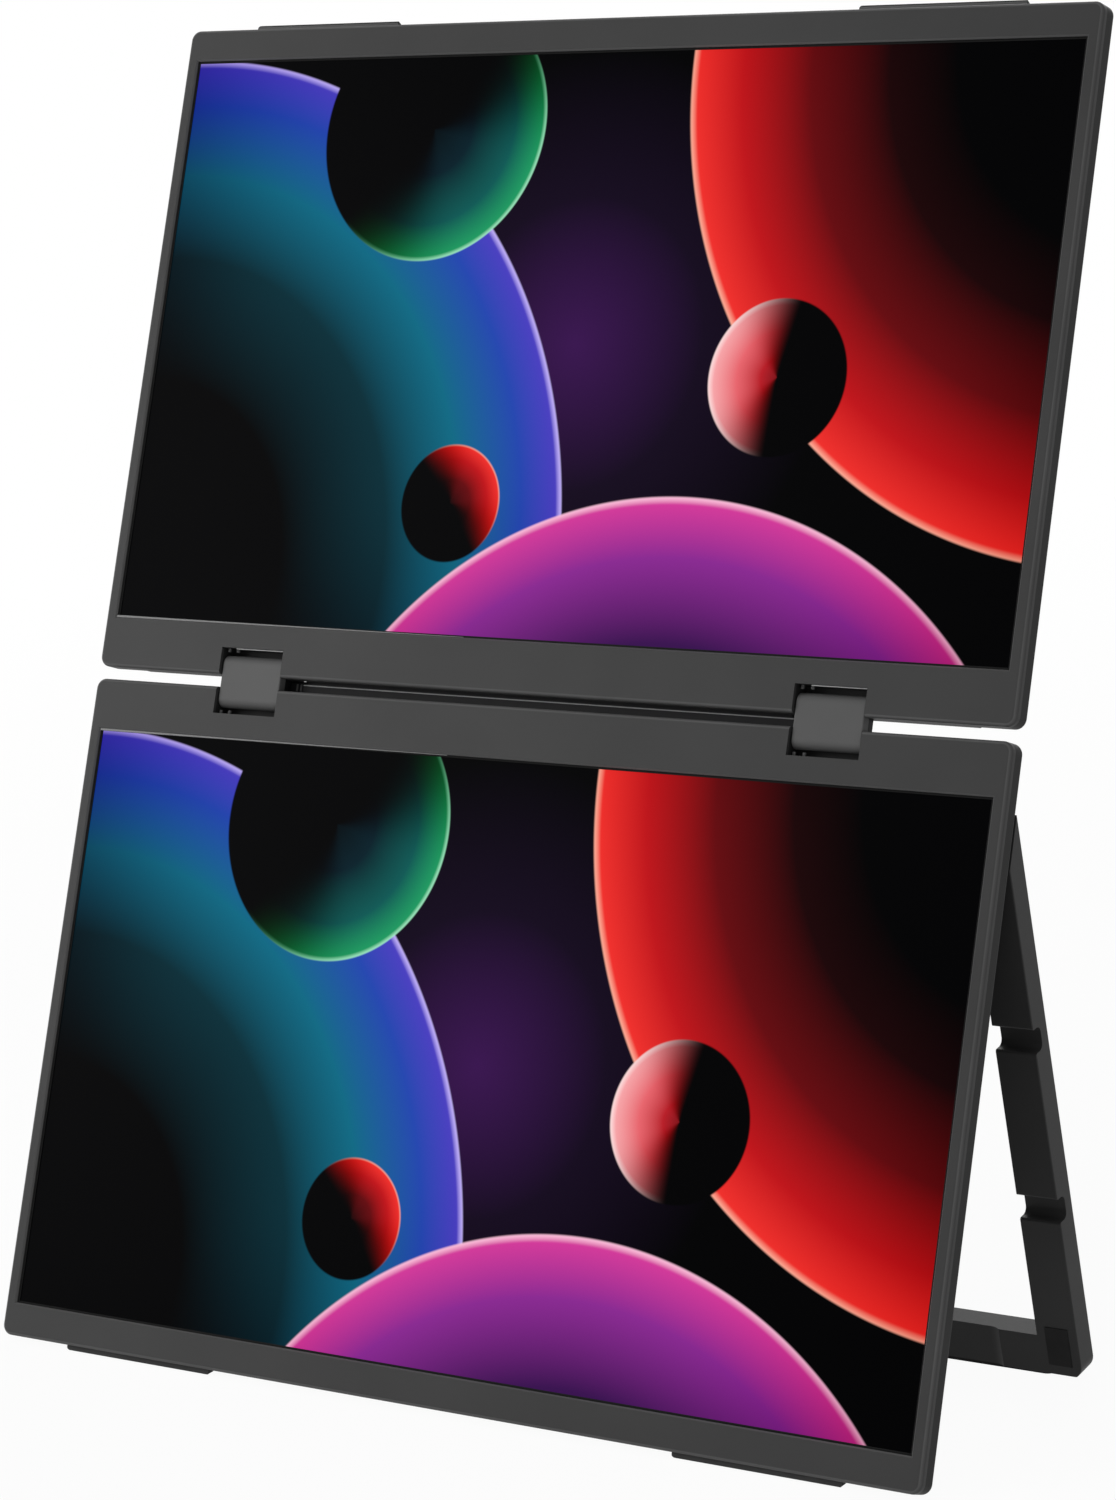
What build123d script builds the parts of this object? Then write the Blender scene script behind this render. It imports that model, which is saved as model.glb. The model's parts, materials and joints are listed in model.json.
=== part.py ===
from build123d import *
import math
import os

os.makedirs("parts", exist_ok=True)

# Millimetres and degrees. Modelling frame: X to the viewer's right, Y from the screen face to the
# rear, Z up along the displays with zero midway between them. The pose is the one of the photo.
# At the end everything leans back and moves so that the origin is the bottom centre of the bounds.

# Screen stack, counted from the bezel front
BEZEL_T = 1.2
CELL_T = 1.4
CELL_LAP = 1.0
TRAY_T = 2.5
TRAY_WALL = 0.8
TRAY_FLOOR = 0.6
TRAY_Y0 = BEZEL_T + CELL_T
TRAY_Y1 = TRAY_Y0 + TRAY_T

# Displays
HALF_W = 177.0
PANEL_H = 222.0
HALF_GAP = 2.1
CORNER_R = 3.5
FRONT_R = 1.3
REAR_R = 1.5
RIM = 1.6
RIB_T = 1.2
RIB_H = 1.1
RIB_PITCH = 55.0
FLOOR_T = 1.6
SIDE_BEZEL = 4.5
OUTER_BEZEL = 10.95
HINGE_BEZEL = 17.0
APERTURE_CHAMFER = 0.5
SPLIT_Y = TRAY_Y0
FLOOR_Y = TRAY_Y1 + RIB_H
PANEL_T = FLOOR_Y + FLOOR_T
EDGE_Z = -HALF_GAP
BASE_Z = EDGE_Z - PANEL_H
MID_Z = (EDGE_Z + BASE_Z) / 2
APERTURE_HALF_W = HALF_W - SIDE_BEZEL
APERTURE_Z0 = BASE_Z + OUTER_BEZEL
APERTURE_Z1 = EDGE_Z - HINGE_BEZEL
RIB_Z = (MID_Z - RIB_PITCH, MID_Z, MID_Z + RIB_PITCH)

# Fits and cutting tools
RUN_FIT = 0.04
SEAT_FIT = 0.02
FREE_FIT = 0.3
FAR = 900.0

# Damper gears: the pinion on each shaft turns a gear of the same size on a pin of the link
AXIS_DROP = 3.7
AXIS_Z = EDGE_Z - AXIS_DROP
AXIS_SPACING = -2 * AXIS_Z
TEETH = 12
PRESSURE = 25.0
ADDENDUM = 0.7
DEDENDUM = 1.0
BACKLASH = 0.06
FLANK_STEPS = 3
GEAR_PITCH_R = AXIS_SPACING / 6
GEAR_MODULE = 2 * GEAR_PITCH_R / TEETH
GEAR_ROOT_R = GEAR_PITCH_R - DEDENDUM * GEAR_MODULE
DAMPER_Z = GEAR_PITCH_R

# Hinges, each set in a notch of both displays
HINGE_INSET = 64.9
NOTCH_W = 25.8
NOTCH_WALL = 1.2
NOTCH_X0 = HALF_W - HINGE_INSET - NOTCH_W / 2
NOTCH_X1 = NOTCH_X0 + NOTCH_W
AXIS_FROM_REAR = 3.7
AXIS_Y = PANEL_T - AXIS_FROM_REAR
LINK_R = 3.0
LINK_WALL = 0.6
LINK_END_WALL = 1.2
LINK_EDGE_R = 0.4
LINK_CLEAR = 0.5
LINK_FRONT_CLEAR = 2.3
NOTCH_DEPTH = AXIS_DROP + LINK_R + LINK_FRONT_CLEAR
SHAFT_STEP = 0.111
SHAFT_R = GEAR_ROOT_R - SHAFT_STEP
SHAFT_INSET = 4.4
SHAFT_X0 = NOTCH_X0 + SHAFT_INSET
PINION_INSET = 12.8
PINION_W = 2.3
PINION_GAP = 0.4
PINION_X0 = NOTCH_X0 + PINION_INSET
PINION_X1 = PINION_X0 + 2 * PINION_W + PINION_GAP
PLATE_T = 1.5
PLATE_SEAT = 0.1
PLATE_R = LINK_R - LINK_WALL - PLATE_SEAT
PLATE_IN_INSET = 8.0
PLATE_OUT_INSET = 4.2
PLATE_IN_X = NOTCH_X0 + PLATE_IN_INSET
PLATE_OUT_X = NOTCH_X1 - PLATE_OUT_INSET
NUT_INSET = 5.0
NUT_X = NOTCH_X0 + NUT_INSET
NUT_T = 1.5
NUT_WALL = 0.3
WASHER_T = 0.6
WASHER_STEP = 0.15
WASHER_R = PLATE_R - WASHER_STEP
WASHER_GAP = 0.25
WASHER_COUNT = 3
DAMPER_PIN_R = 0.7
BARREL_WALL = 0.9
BARREL_R = SHAFT_R + BARREL_WALL
BARREL_INSET = 3.0
BARREL_L = 9.0
BARREL_X0 = NOTCH_X1 + BARREL_INSET
SHAFT_X1 = BARREL_X0 + BARREL_L
LEAF_T = 1.0
LEAF_L = 21.0
LEAF_X1 = SHAFT_X1 + LEAF_L
LEAF_CLEAR = 0.3
BULGE_T = 1.4
BULGE_H = 16.5
BULGE_R = 1.0
BULGE_MARGIN_IN = 3.7
BULGE_MARGIN_OUT = 3.0
BULGE_X0 = NOTCH_X0 - BULGE_MARGIN_IN
BULGE_X1 = LEAF_X1 + BULGE_MARGIN_OUT

# Spine bar between the hinges
SPINE_HALF_H = 1.5
SPINE_STEP = 0.5
SPINE_T = 1.0
SPINE_BACK_HALF_H = 2.4
SPINE_BACK_T = 2.6
SPINE_BACK_R = 0.9
SPINE_INSET = 4.7
SPINE_LAP = 8.8
SPINE_WALL = 0.8
SPINE_CABLE_GAP = 0.3
SPINE_CABLE_END = 1.0
SPINE_Y0 = AXIS_Y + LINK_R + SPINE_STEP
SPINE_Y1 = SPINE_Y0 + SPINE_T
SPINE_BACK_Y = SPINE_Y1 + SPINE_BACK_T
SPINE_BACK_HALF_X = NOTCH_X0 - SPINE_INSET
SPINE_END_X = NOTCH_X0 + SPINE_LAP
SPINE_TONGUE_LAP = 1.5
SPINE_TONGUE_CLEAR = 0.4
SPINE_TONGUE_X = NOTCH_X0 + SPINE_TONGUE_LAP
SPINE_TONGUE_Y = PANEL_T + BULGE_T + SPINE_TONGUE_CLEAR

# Screws: shank radius, head radius, head height
CASE_SCREW = (0.8, 1.7, 0.9)
LEAF_SCREW = (0.9, 1.7, 0.8)
BRACKET_SCREW = (1.0, 1.9, 1.0)
BOX_SCREW = (1.0, 2.0, 1.0)
BOARD_SCREW = (0.9, 1.8, 0.7)
CASE_TIP_GAP = 0.6
CASE_POST_R = 1.6
LEAF_SCREW_BITE = 2.0
BOARD_SCREW_BITE = 1.4
BRACKET_TIP_GAP = 0.2
BOX_SCREW_SINK = 0.2
CASE_SCREW_INSET = 27.0
CASE_SCREW_RISE = 5.5
CASE_SCREW_DROP = 7.9
CORNER_SCREW_INSET = 9.0
HINGE_SCREW_INSET = 24.2
CASE_SCREW_PITCH = (HALF_W - CASE_SCREW_INSET) / 2
HINGE_SCREW_X = NOTCH_X0 - HINGE_SCREW_INSET
CASE_SCREW_POINTS = [(CASE_SCREW_PITCH * step, BASE_Z + CASE_SCREW_RISE) for step in (-2, -1, 0, 1, 2)]
CASE_SCREW_POINTS += [(sign * x, EDGE_Z - CASE_SCREW_DROP) for sign in (-1, 1)
                      for x in (HALF_W - CORNER_SCREW_INSET, HINGE_SCREW_X)]
LEAF_SCREW_STEPS = ((5.0, 11.4), (11.5, 5.9), (17.5, 11.4))
LEAF_SCREW_POINTS = [(SHAFT_X1 + dx, EDGE_Z - drop) for dx, drop in LEAF_SCREW_STEPS]
RIB_X = (-1.5 * CASE_SCREW_PITCH, 1.5 * CASE_SCREW_PITCH)

# Driver board behind each hinge bezel; a chip row holds middle, width and height
DRIVER_T = 0.8
DRIVER_GAP = 2.1
DRIVER_STANDOFF = 1.0
DRIVER_SCREW_GAP = 17.0
DRIVER_POST_R = 2.0
DRIVER_POST_INSET = 8.0
DRIVER_CHIP_H = 5.0
DRIVER_CHIPS = ((-18.0, 9.0, 1.0), (-3.0, 12.0, 1.2), (14.0, 7.0, 0.9))
DRIVER_PLUG = (8.0, 1.4)
DRIVER_PLUG_INSET = 5.0
DRIVER_HALF_W = HINGE_SCREW_X - DRIVER_SCREW_GAP
DRIVER_Z0 = APERTURE_Z1 + CELL_LAP + DRIVER_GAP
DRIVER_Z1 = EDGE_Z - RIM - DRIVER_GAP
DRIVER_MID_Z = (DRIVER_Z0 + DRIVER_Z1) / 2

# Feet
FOOT_LENGTH = 60.0
FOOT_INSET = 57.4
FOOT_X = HALF_W - FOOT_INSET
FOOT_W = 4.0
FOOT_Y0 = 2.0
FOOT_Y1 = FOOT_Y0 + FOOT_W
FOOT_PROUD = 2.2
FOOT_END_R = 0.45

# Kickstand; its legs end where they meet the floor in the open pose
LEAN = 23.0
OPEN = 30.0
STAND_GAP = 0.3
STAND_T = 8.8
STAND_BAR = 14.0
STAND_EDGE_R = 0.8
STAND_CORNER_R = 5.0
STAND_STOP_GAP = 0.05
STAND_TIP_TRIM = 1.0
STAND_HORN = 21.0
STAND_Y0 = PANEL_T + STAND_GAP
STAND_Y1 = STAND_Y0 + STAND_T
STAND_INNER_X = HALF_W - STAND_BAR
PIVOT_DROP = 36.9
PIVOT_Y = STAND_Y0 + STAND_T / 2
PIVOT_Z = EDGE_Z - PIVOT_DROP
SOLE_T = 1.0
SOLE_W = 6.4
SOLE_INSET = 11.0
SOLE_HALF_L = HALF_W - SOLE_INSET
LEAN_ANGLE = math.radians(LEAN)
NET_ANGLE = math.radians(OPEN - LEAN)
FLOOR_LEVEL = (BASE_Z - FOOT_PROUD) * math.cos(LEAN_ANGLE) - FOOT_Y0 * math.sin(LEAN_ANGLE)
PIVOT_RISE = PIVOT_Z * math.cos(LEAN_ANGLE) - PIVOT_Y * math.sin(LEAN_ANGLE) - FLOOR_LEVEL
LEG_LENGTH = (PIVOT_RISE - SOLE_T + STAND_T / 2 * math.sin(NET_ANGLE)) / math.cos(NET_ANGLE)
LEG_BOTTOM_Z = PIVOT_Z - LEG_LENGTH
LEG_TOP_Z = PIVOT_Z + STAND_HORN
RELIEF_DEEP = 1.1
RELIEF_INSET = 25.0
RELIEF_HALF_W = HALF_W - RELIEF_INSET
RELIEF_R = 6.0
PAD_W = 8.0
PAD_H = 13.0
PAD_RISE = 10.8
PAD_X = HALF_W - STAND_BAR / 2
PAD_Z = LEG_BOTTOM_Z + PAD_RISE
PAD_SINK = 0.8
PAD_CLEAR = 0.05
PAD_PROUD = STAND_GAP - PAD_CLEAR
PIN_R = 2.0
PIN_HEAD_R = 3.2
PIN_HEAD_T = 1.6
PIN_END_GAP = 0.5
BUSH_WALL = 1.0
BUSH_R = PIN_R + BUSH_WALL
BUSH_L = 10.5
LUG_R = 4.2
LUG_T = 4.0
LUG_FOOT = 7.0
LUG_BASE_T = 1.2
LUG_BASE_W = 12.9
LUG_BASE_HALF_H = 12.0
LUG_GAP = 0.6
LUG_X1 = STAND_INNER_X - LUG_GAP
LUG_X0 = LUG_X1 - LUG_T
LUG_BASE_X = LUG_X1 - LUG_BASE_W
WASHER_SLACK = 0.1
STAND_WASHER_STEP = 0.3
BRACKET_SCREW_INSET = 4.0
BRACKET_SCREW_STEP = 7.5
BRACKET_SCREW_POINTS = [(LUG_BASE_X + BRACKET_SCREW_INSET, PIVOT_Z + sign * BRACKET_SCREW_STEP)
                        for sign in (1, -1)]

# Sockets and the main board, counted from the back of the lower display; a tongue is half width
# and thickness
PORT_SIZE = (8.9, 3.3)
PORT_FLOOR_GAP = 0.9
PORT_DEEP = 7.3
PORT_BACK = 1.0
PORT_SHELL = 0.35
PORT_CLEAR = 0.5
PORT_SETBACK = 0.3
PORT_TONGUE = (3.3, 0.7)
TONGUE_SETBACK = 0.8
HDMI_SIZE = (11.4, 3.2)
HDMI_TONGUE = (4.2, 0.6)
JACK_BODY = (12.0, 6.4)
JACK_DROP = 2.2
JACK_KEEL = 2.4
JACK_CLEAR = 0.1
JACK_NOSE_R = 2.3
JACK_BORE_R = 1.75
JACK_BORE_L = 11.0
BOARD_T = 1.0
BOARD_POST_L = 1.0
BOARD_POST_R = 3.0
BOARD_Y0 = PANEL_T + PORT_FLOOR_GAP + PORT_SIZE[1]
PORT_Y = BOARD_Y0 - PORT_SIZE[1] / 2

# Electronics box on the back of the lower display
BOX_WALL = 1.6
BOX_GAP = 11.5
BOX_RISE = 36.1
BOX_DROP = 47.9
BOX_R = 6.0
BOX_EDGE_R = 2.0
BOX_POST_R = 3.2
BOX_HALF_W = LUG_BASE_X - BOX_GAP
BOX_Z0 = BASE_Z + BOX_RISE
BOX_Z1 = EDGE_Z - BOX_DROP
BOX_Y1 = BOARD_Y0 + BOARD_T + BOARD_POST_L + BOX_WALL
BOX_SCREW_SEAT = BOX_Y1 - BOX_SCREW[2] - BOX_SCREW_SINK
BOX_SCREW_INSET_X = 10.0
BOX_SCREW_INSET_Z = 6.0
BOX_SCREW_POINTS = [(sign * (BOX_HALF_W - BOX_SCREW_INSET_X), z) for sign in (-1, 1)
                    for z in (BOX_Z0 + BOX_SCREW_INSET_Z, BOX_Z1 - BOX_SCREW_INSET_Z)]
VENT_SLOT = (60.0, 1.8)
VENT_DROP = 30.0
VENT_PITCH = 5.0
VENT_COUNT = 6
VENT_Z = BOX_Z1 - VENT_DROP
SPEAKER_SIZE = (28.0, 17.0, 4.5)
SPEAKER_CONE = (22.0, 11.0)
SPEAKER_RIM = 1.0
SPEAKER_SLOT = (22.0, 1.6)
SPEAKER_PITCH = 4.0
SPEAKER_INSET = 42.0
SPEAKER_RISE = 12.0
SPEAKER_X = BOX_HALF_W - SPEAKER_INSET
SPEAKER_Z = BOX_Z0 + SPEAKER_RISE
PORT_X = BOX_HALF_W - PORT_SETBACK
UPPER_PORT_DROP = 43.4
LOWER_PORT_RISE = 38.0

# Main board and push buttons; a chip row holds x and z from the middle, width, depth and height
BOARD_INSET = 6.0
BOARD_RISE = 24.0
BOARD_DROP = 12.0
BOARD_HALF_W = BOX_HALF_W - BOARD_INSET
BOARD_Z0 = BOX_Z0 + BOARD_RISE
BOARD_Z1 = BOX_Z1 - BOARD_DROP
BOARD_MID_Z = (BOARD_Z0 + BOARD_Z1) / 2
BOARD_CHIPS = ((0.0, 13.0, 16.0, 16.0, 1.6), (-45.0, 25.0, 12.0, 10.0, 1.2), (40.0, -7.0, 14.0, 9.0, 1.3),
               (-60.0, -17.0, 10.0, 10.0, 2.4), (70.0, 23.0, 10.0, 10.0, 2.4), (0.0, -27.0, 40.0, 5.0, 2.2))
BOARD_SCREW_INSET_X = 22.0
BOARD_SCREW_INSET_Z = 6.0
BOARD_SCREW_POINTS = [(sign * (BOARD_HALF_W - BOARD_SCREW_INSET_X), z) for sign in (-1, 1)
                      for z in (BOARD_Z0 + BOARD_SCREW_INSET_Z, BOARD_Z1 - BOARD_SCREW_INSET_Z)]
CABLE_WINDOW_HALF_W = 60.0
CABLE_WINDOW_RISE = 14.0
CABLE_WINDOW_H = 25.0
CABLE_WINDOW_Z0 = BOARD_Z0 + CABLE_WINDOW_RISE
SWITCH_SIZE = 5.2
SWITCH_DROP = 1.6
SWITCH_L = 5.9
BUTTON_SIZE = (5.0, 2.4)
BUTTON_PROUD = 0.8
BUTTON_TRAVEL = 0.5
BUTTON_FLANGE = 0.8
BUTTON_LIP = 0.7
BUTTON_GAP = 0.1
BUTTON_DROP = 16.0
BUTTON_PITCH = 8.0
BUTTON_NAMES = ("power_button", "plus_button", "minus_button")
BUTTON_Z = {name: BOX_Z1 - BUTTON_DROP - BUTTON_PITCH * i for i, name in enumerate(BUTTON_NAMES)}

# Cable notches in the legs, level with the sockets when the kickstand is folded
CABLE_NOTCH_H = 7.7
CABLE_NOTCH_DEEP = 4.4
CABLE_NOTCH_R = 2.2
CABLE_LIP_R = 0.7
CABLE_NOTCH_Z = (BOX_Z1 - UPPER_PORT_DROP, BOX_Z0 + LOWER_PORT_RISE)


def block(x0, x1, y0, y1, z0, z1):
    """Box between two opposite corners."""
    centre = Pos((x0 + x1) / 2, (y0 + y1) / 2, (z0 + z1) / 2)
    return centre * Box(abs(x1 - x0), abs(y1 - y0), abs(z1 - z0))


def slab(sketch, y0, y1):
    """Extrude a sketch drawn in X and Z from depth y0 to y1."""
    return extrude(Plane.XZ.offset(-y0) * sketch, amount=-(y1 - y0))


def bar(sketch, x0, x1):
    """Extrude a sketch drawn in Y and Z from x0 to x1."""
    return extrude(Plane.YZ.offset(x0) * sketch, amount=x1 - x0)


def rod_x(radius, x0, x1, y, z):
    return bar(Pos(y, z) * Circle(radius), x0, x1)


def rod_y(radius, y0, y1, x, z):
    return slab(Pos(x, z) * Circle(radius), y0, y1)


def flip_x(shape):
    """Mirror image on the other side of the middle."""
    return mirror(shape, about=Plane.YZ)


def flip_z(shape):
    """Turn a lower display piece into an upper display piece."""
    return mirror(shape, about=Plane.XY)


def both_sides(shape):
    return [shape, flip_x(shape)]


def group(*shapes):
    return Compound(children=[s for entry in shapes for s in (entry if isinstance(entry, list) else [entry])])


def stadium(length, height):
    """Slot outline lying along its first axis."""
    return SlotOverall(length, height)


def screw(size, length, seat_y, x, z):
    """Screw driven towards the screen: its head sits on the rear side of seat_y."""
    shank, head, height = size
    body = rod_y(head, seat_y, seat_y + height, x, z) + rod_y(shank, seat_y - length, seat_y, x, z)
    socket = slab(Pos(x, z) * RegularPolygon(head * 0.5, 6), seat_y + height * 0.4, seat_y + height + 1)
    return body - socket


def inner_screw(size, length, seat_y, x, z):
    """Screw driven towards the rear: its head sits on the front side of seat_y."""
    shank, head, height = size
    body = rod_y(head, seat_y - height, seat_y, x, z) + rod_y(shank, seat_y, seat_y + length, x, z)
    socket = slab(Pos(x, z) * RegularPolygon(head * 0.5, 6), seat_y - height - 1, seat_y - height * 0.4)
    return body - socket


def gear_outline(half_step):
    """Involute spur gear outline; half_step turns it by half a tooth."""
    base = GEAR_PITCH_R * math.cos(math.radians(PRESSURE))
    tip = GEAR_PITCH_R + ADDENDUM * GEAR_MODULE
    half_tooth = math.pi / (2 * TEETH) - BACKLASH / (2 * GEAR_PITCH_R)

    def involute(angle):
        return math.tan(angle) - angle

    flank = [(GEAR_ROOT_R, half_tooth + involute(math.radians(PRESSURE)))]
    for step in range(FLANK_STEPS + 1):
        radius = base + (tip - base) * step / FLANK_STEPS
        roll = math.acos(min(1.0, base / radius))
        flank.append((radius, half_tooth + involute(math.radians(PRESSURE)) - involute(roll)))
    points = []
    for tooth in range(TEETH):
        centre = 2 * math.pi * (tooth + (0.5 if half_step else 0.0)) / TEETH
        points += [(r * math.sin(centre - a), r * math.cos(centre - a)) for r, a in flank]
        points += [(r * math.sin(centre + a), r * math.cos(centre + a)) for r, a in reversed(flank)]
    return make_face(Polyline(*points, close=True))


def display_outline():
    return Pos(0, MID_Z) * RectangleRounded(2 * HALF_W, PANEL_H, CORNER_R)


def cavity(y0, y1):
    return block(-HALF_W + RIM, HALF_W - RIM, y0, y1, BASE_Z + RIM, EDGE_Z - RIM)


def hinge_notch(y0, y1, margin=0.0):
    """Both hinge notches, cut in from the hinge edge."""
    low = EDGE_Z - NOTCH_DEPTH - margin
    notch = block(NOTCH_X0 - margin, NOTCH_X1 + margin, y0, y1, low, EDGE_Z + (0 if margin else 1))
    return notch + flip_x(notch)


def barrel_relief(y0, y1):
    """Room in the rims and the floor for the bracket barrels."""
    reach = BARREL_R + FREE_FIT
    room = block(NOTCH_X1 + NOTCH_WALL, SHAFT_X1 + FREE_FIT, y0, y1, AXIS_Z - reach, AXIS_Z + reach)
    return room + flip_x(room)


def in_window(point):
    """True where a point lies inside the screen aperture or on its border."""
    return abs(point.X) < APERTURE_HALF_W + 0.1 and APERTURE_Z0 - 0.1 < point.Z < APERTURE_Z1 + 0.1


def bezel():
    """Front frame with its aperture, hinge notches and screw posts."""
    body = slab(display_outline(), 0, SPLIT_Y)
    body = fillet(body.faces().sort_by(Axis.Y)[0].edges(), FRONT_R)
    body -= cavity(BEZEL_T, SPLIT_Y + 1)
    window = (2 * APERTURE_HALF_W, APERTURE_Z1 - APERTURE_Z0)
    body -= slab(Pos(0, (APERTURE_Z0 + APERTURE_Z1) / 2) * Rectangle(*window), -1, SPLIT_Y + 1)
    front_edges = body.edges().filter_by_position(Axis.Y, -0.01, 0.01)
    body = chamfer([e for e in front_edges if in_window(e.center())], APERTURE_CHAMFER)
    for x, z in CASE_SCREW_POINTS:
        body += rod_y(CASE_POST_R, BEZEL_T / 2, FLOOR_Y, x, z)
        body -= rod_y(CASE_SCREW[0] + SEAT_FIT, SPLIT_Y, FLOOR_Y + 1, x, z)
    return body - hinge_notch(-1, SPLIT_Y + 1) - barrel_relief(BEZEL_T, SPLIT_Y + 1)


def rear_shell():
    """Rear cover common to both displays: tray, hinge bulges, notch walls, ribs and screw holes."""
    body = slab(display_outline(), SPLIT_Y, PANEL_T)
    body = fillet(body.faces().sort_by(Axis.Y)[-1].edges(), REAR_R)
    bulge = block(BULGE_X0, BULGE_X1, FLOOR_Y, PANEL_T + BULGE_T, EDGE_Z - BULGE_H, EDGE_Z)
    rims = bulge.edges().filter_by_position(Axis.Y, PANEL_T + BULGE_T - 0.01, PANEL_T + BULGE_T + 0.01)
    bulge = fillet(rims, BULGE_R)
    body -= cavity(SPLIT_Y - 1, FLOOR_Y)
    body += both_sides(bulge)
    body += hinge_notch(BEZEL_T, FLOOR_Y, NOTCH_WALL) - block(-FAR, FAR, 0, SPLIT_Y, EDGE_Z - RIM, 0)
    for z in RIB_Z:
        body += block(-HALF_W + RIM, HALF_W - RIM, TRAY_Y1, FLOOR_Y, z - RIB_T / 2, z + RIB_T / 2)
    for x in RIB_X:
        body += block(x - RIB_T / 2, x + RIB_T / 2, TRAY_Y1, FLOOR_Y, BASE_Z + RIM, APERTURE_Z1)
    post_x = DRIVER_HALF_W - DRIVER_POST_INSET
    for x in (-post_x, post_x):
        body += rod_y(DRIVER_POST_R, FLOOR_Y - DRIVER_STANDOFF, FLOOR_Y, x, DRIVER_MID_Z)
    body -= hinge_notch(0, AXIS_Y + LINK_R + FREE_FIT)
    body -= barrel_relief(0, AXIS_Y + BARREL_R + FREE_FIT)
    bores = rod_x(SHAFT_R + FREE_FIT, NOTCH_X1 - 1, NOTCH_X1 + NOTCH_WALL + 1, AXIS_Y, AXIS_Z)
    body -= both_sides(bores)
    seat = PANEL_T - CASE_SCREW[2]
    for x, z in CASE_SCREW_POINTS:
        body -= rod_y(CASE_SCREW[1] + FREE_FIT, seat, PANEL_T + 1, x, z)
        body -= rod_y(CASE_SCREW[0] + SEAT_FIT, FLOOR_Y - 1, PANEL_T, x, z)
    leaf_y1 = FLOOR_Y + LEAF_SCREW_BITE + FREE_FIT
    for x, z in LEAF_SCREW_POINTS:
        body -= both_sides(rod_y(LEAF_SCREW[0] + SEAT_FIT, FLOOR_Y - 1, leaf_y1, x, z))
    return body


def lower_cover():
    """Lower rear cover: adds a cable window and holes for the brackets and the electronics cover."""
    body = rear_shell()
    body -= block(-CABLE_WINDOW_HALF_W, CABLE_WINDOW_HALF_W, TRAY_Y1, PANEL_T + 1,
                  CABLE_WINDOW_Z0, CABLE_WINDOW_Z0 + CABLE_WINDOW_H)
    for x, z in BRACKET_SCREW_POINTS:
        body -= both_sides(rod_y(BRACKET_SCREW[0] + SEAT_FIT, FLOOR_Y - 2, PANEL_T + 1, x, z))
    for x, z in BOX_SCREW_POINTS:
        body -= rod_y(BOX_SCREW[0] + SEAT_FIT, FLOOR_Y - 2, PANEL_T + 1, x, z)
    return body


def case_screws():
    seat = PANEL_T - CASE_SCREW[2]
    return group([screw(CASE_SCREW, seat - SPLIT_Y - CASE_TIP_GAP, seat, x, z) for x, z in CASE_SCREW_POINTS])


def lcd_cell():
    half = APERTURE_HALF_W + CELL_LAP
    return block(-half, half, BEZEL_T, TRAY_Y0, APERTURE_Z0 - CELL_LAP, APERTURE_Z1 + CELL_LAP)


def backlight_tray():
    half = APERTURE_HALF_W + CELL_LAP
    z0 = APERTURE_Z0 - CELL_LAP
    z1 = APERTURE_Z1 + CELL_LAP
    body = block(-half, half, TRAY_Y0, TRAY_Y1, z0, z1)
    inner = half - TRAY_WALL
    return body - block(-inner, inner, TRAY_Y0 - 1, TRAY_Y1 - TRAY_FLOOR, z0 + TRAY_WALL, z1 - TRAY_WALL)


def light_guide():
    half = APERTURE_HALF_W + CELL_LAP - TRAY_WALL
    z0 = APERTURE_Z0 - CELL_LAP + TRAY_WALL
    z1 = APERTURE_Z1 + CELL_LAP - TRAY_WALL
    return block(-half, half, TRAY_Y0, TRAY_Y1 - TRAY_FLOOR, z0, z1)


def driver_board():
    """Timing board with its chips and connectors, on posts of the rear cover."""
    y1 = FLOOR_Y - DRIVER_STANDOFF
    y0 = y1 - DRIVER_T
    body = block(-DRIVER_HALF_W, DRIVER_HALF_W, y0, y1, DRIVER_Z0, DRIVER_Z1)
    plug_x = DRIVER_HALF_W - DRIVER_PLUG_INSET
    half = DRIVER_CHIP_H / 2
    for x, width, height in DRIVER_CHIPS + ((-plug_x, *DRIVER_PLUG), (plug_x, *DRIVER_PLUG)):
        body += block(x - width / 2, x + width / 2, y0 - height, y0, DRIVER_MID_Z - half, DRIVER_MID_Z + half)
    return body


def foot():
    """Rubber foot strip with its sole cut flat to the lean of the displays."""
    drop = (FOOT_Y1 - FOOT_Y0) * math.tan(math.radians(LEAN))
    section = Polyline((FOOT_Y0, BASE_Z), (FOOT_Y1, BASE_Z), (FOOT_Y1, BASE_Z - FOOT_PROUD + drop),
                       (FOOT_Y0, BASE_Z - FOOT_PROUD), close=True)
    body = bar(make_face(section), FOOT_X - FOOT_LENGTH / 2, FOOT_X + FOOT_LENGTH / 2)
    across = body.faces().sort_by(Axis.X)
    ends = [face.edges().sort_by(Axis.Z)[0] for face in (across[0], across[-1])]
    return fillet(ends, FOOT_END_R)


def hinge_bracket():
    """Steel leaf with a rolled barrel that clamps the shaft."""
    barrel = rod_x(BARREL_R, BARREL_X0, SHAFT_X1, AXIS_Y, AXIS_Z)
    leaf = block(BARREL_X0, LEAF_X1, FLOOR_Y - LEAF_T, FLOOR_Y, APERTURE_Z1 + CELL_LAP + LEAF_CLEAR, AXIS_Z)
    neck = block(SHAFT_X1, LEAF_X1, FLOOR_Y - LEAF_T, FLOOR_Y, AXIS_Z, EDGE_Z - RIM - FREE_FIT)
    body = barrel + leaf + neck
    body -= rod_x(SHAFT_R + SEAT_FIT, BARREL_X0 - 1, SHAFT_X1 + 1, AXIS_Y, AXIS_Z)
    for x, z in LEAF_SCREW_POINTS:
        body -= rod_y(LEAF_SCREW[0] + SEAT_FIT, FLOOR_Y - 3, FLOOR_Y + 1, x, z)
    return body


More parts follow.
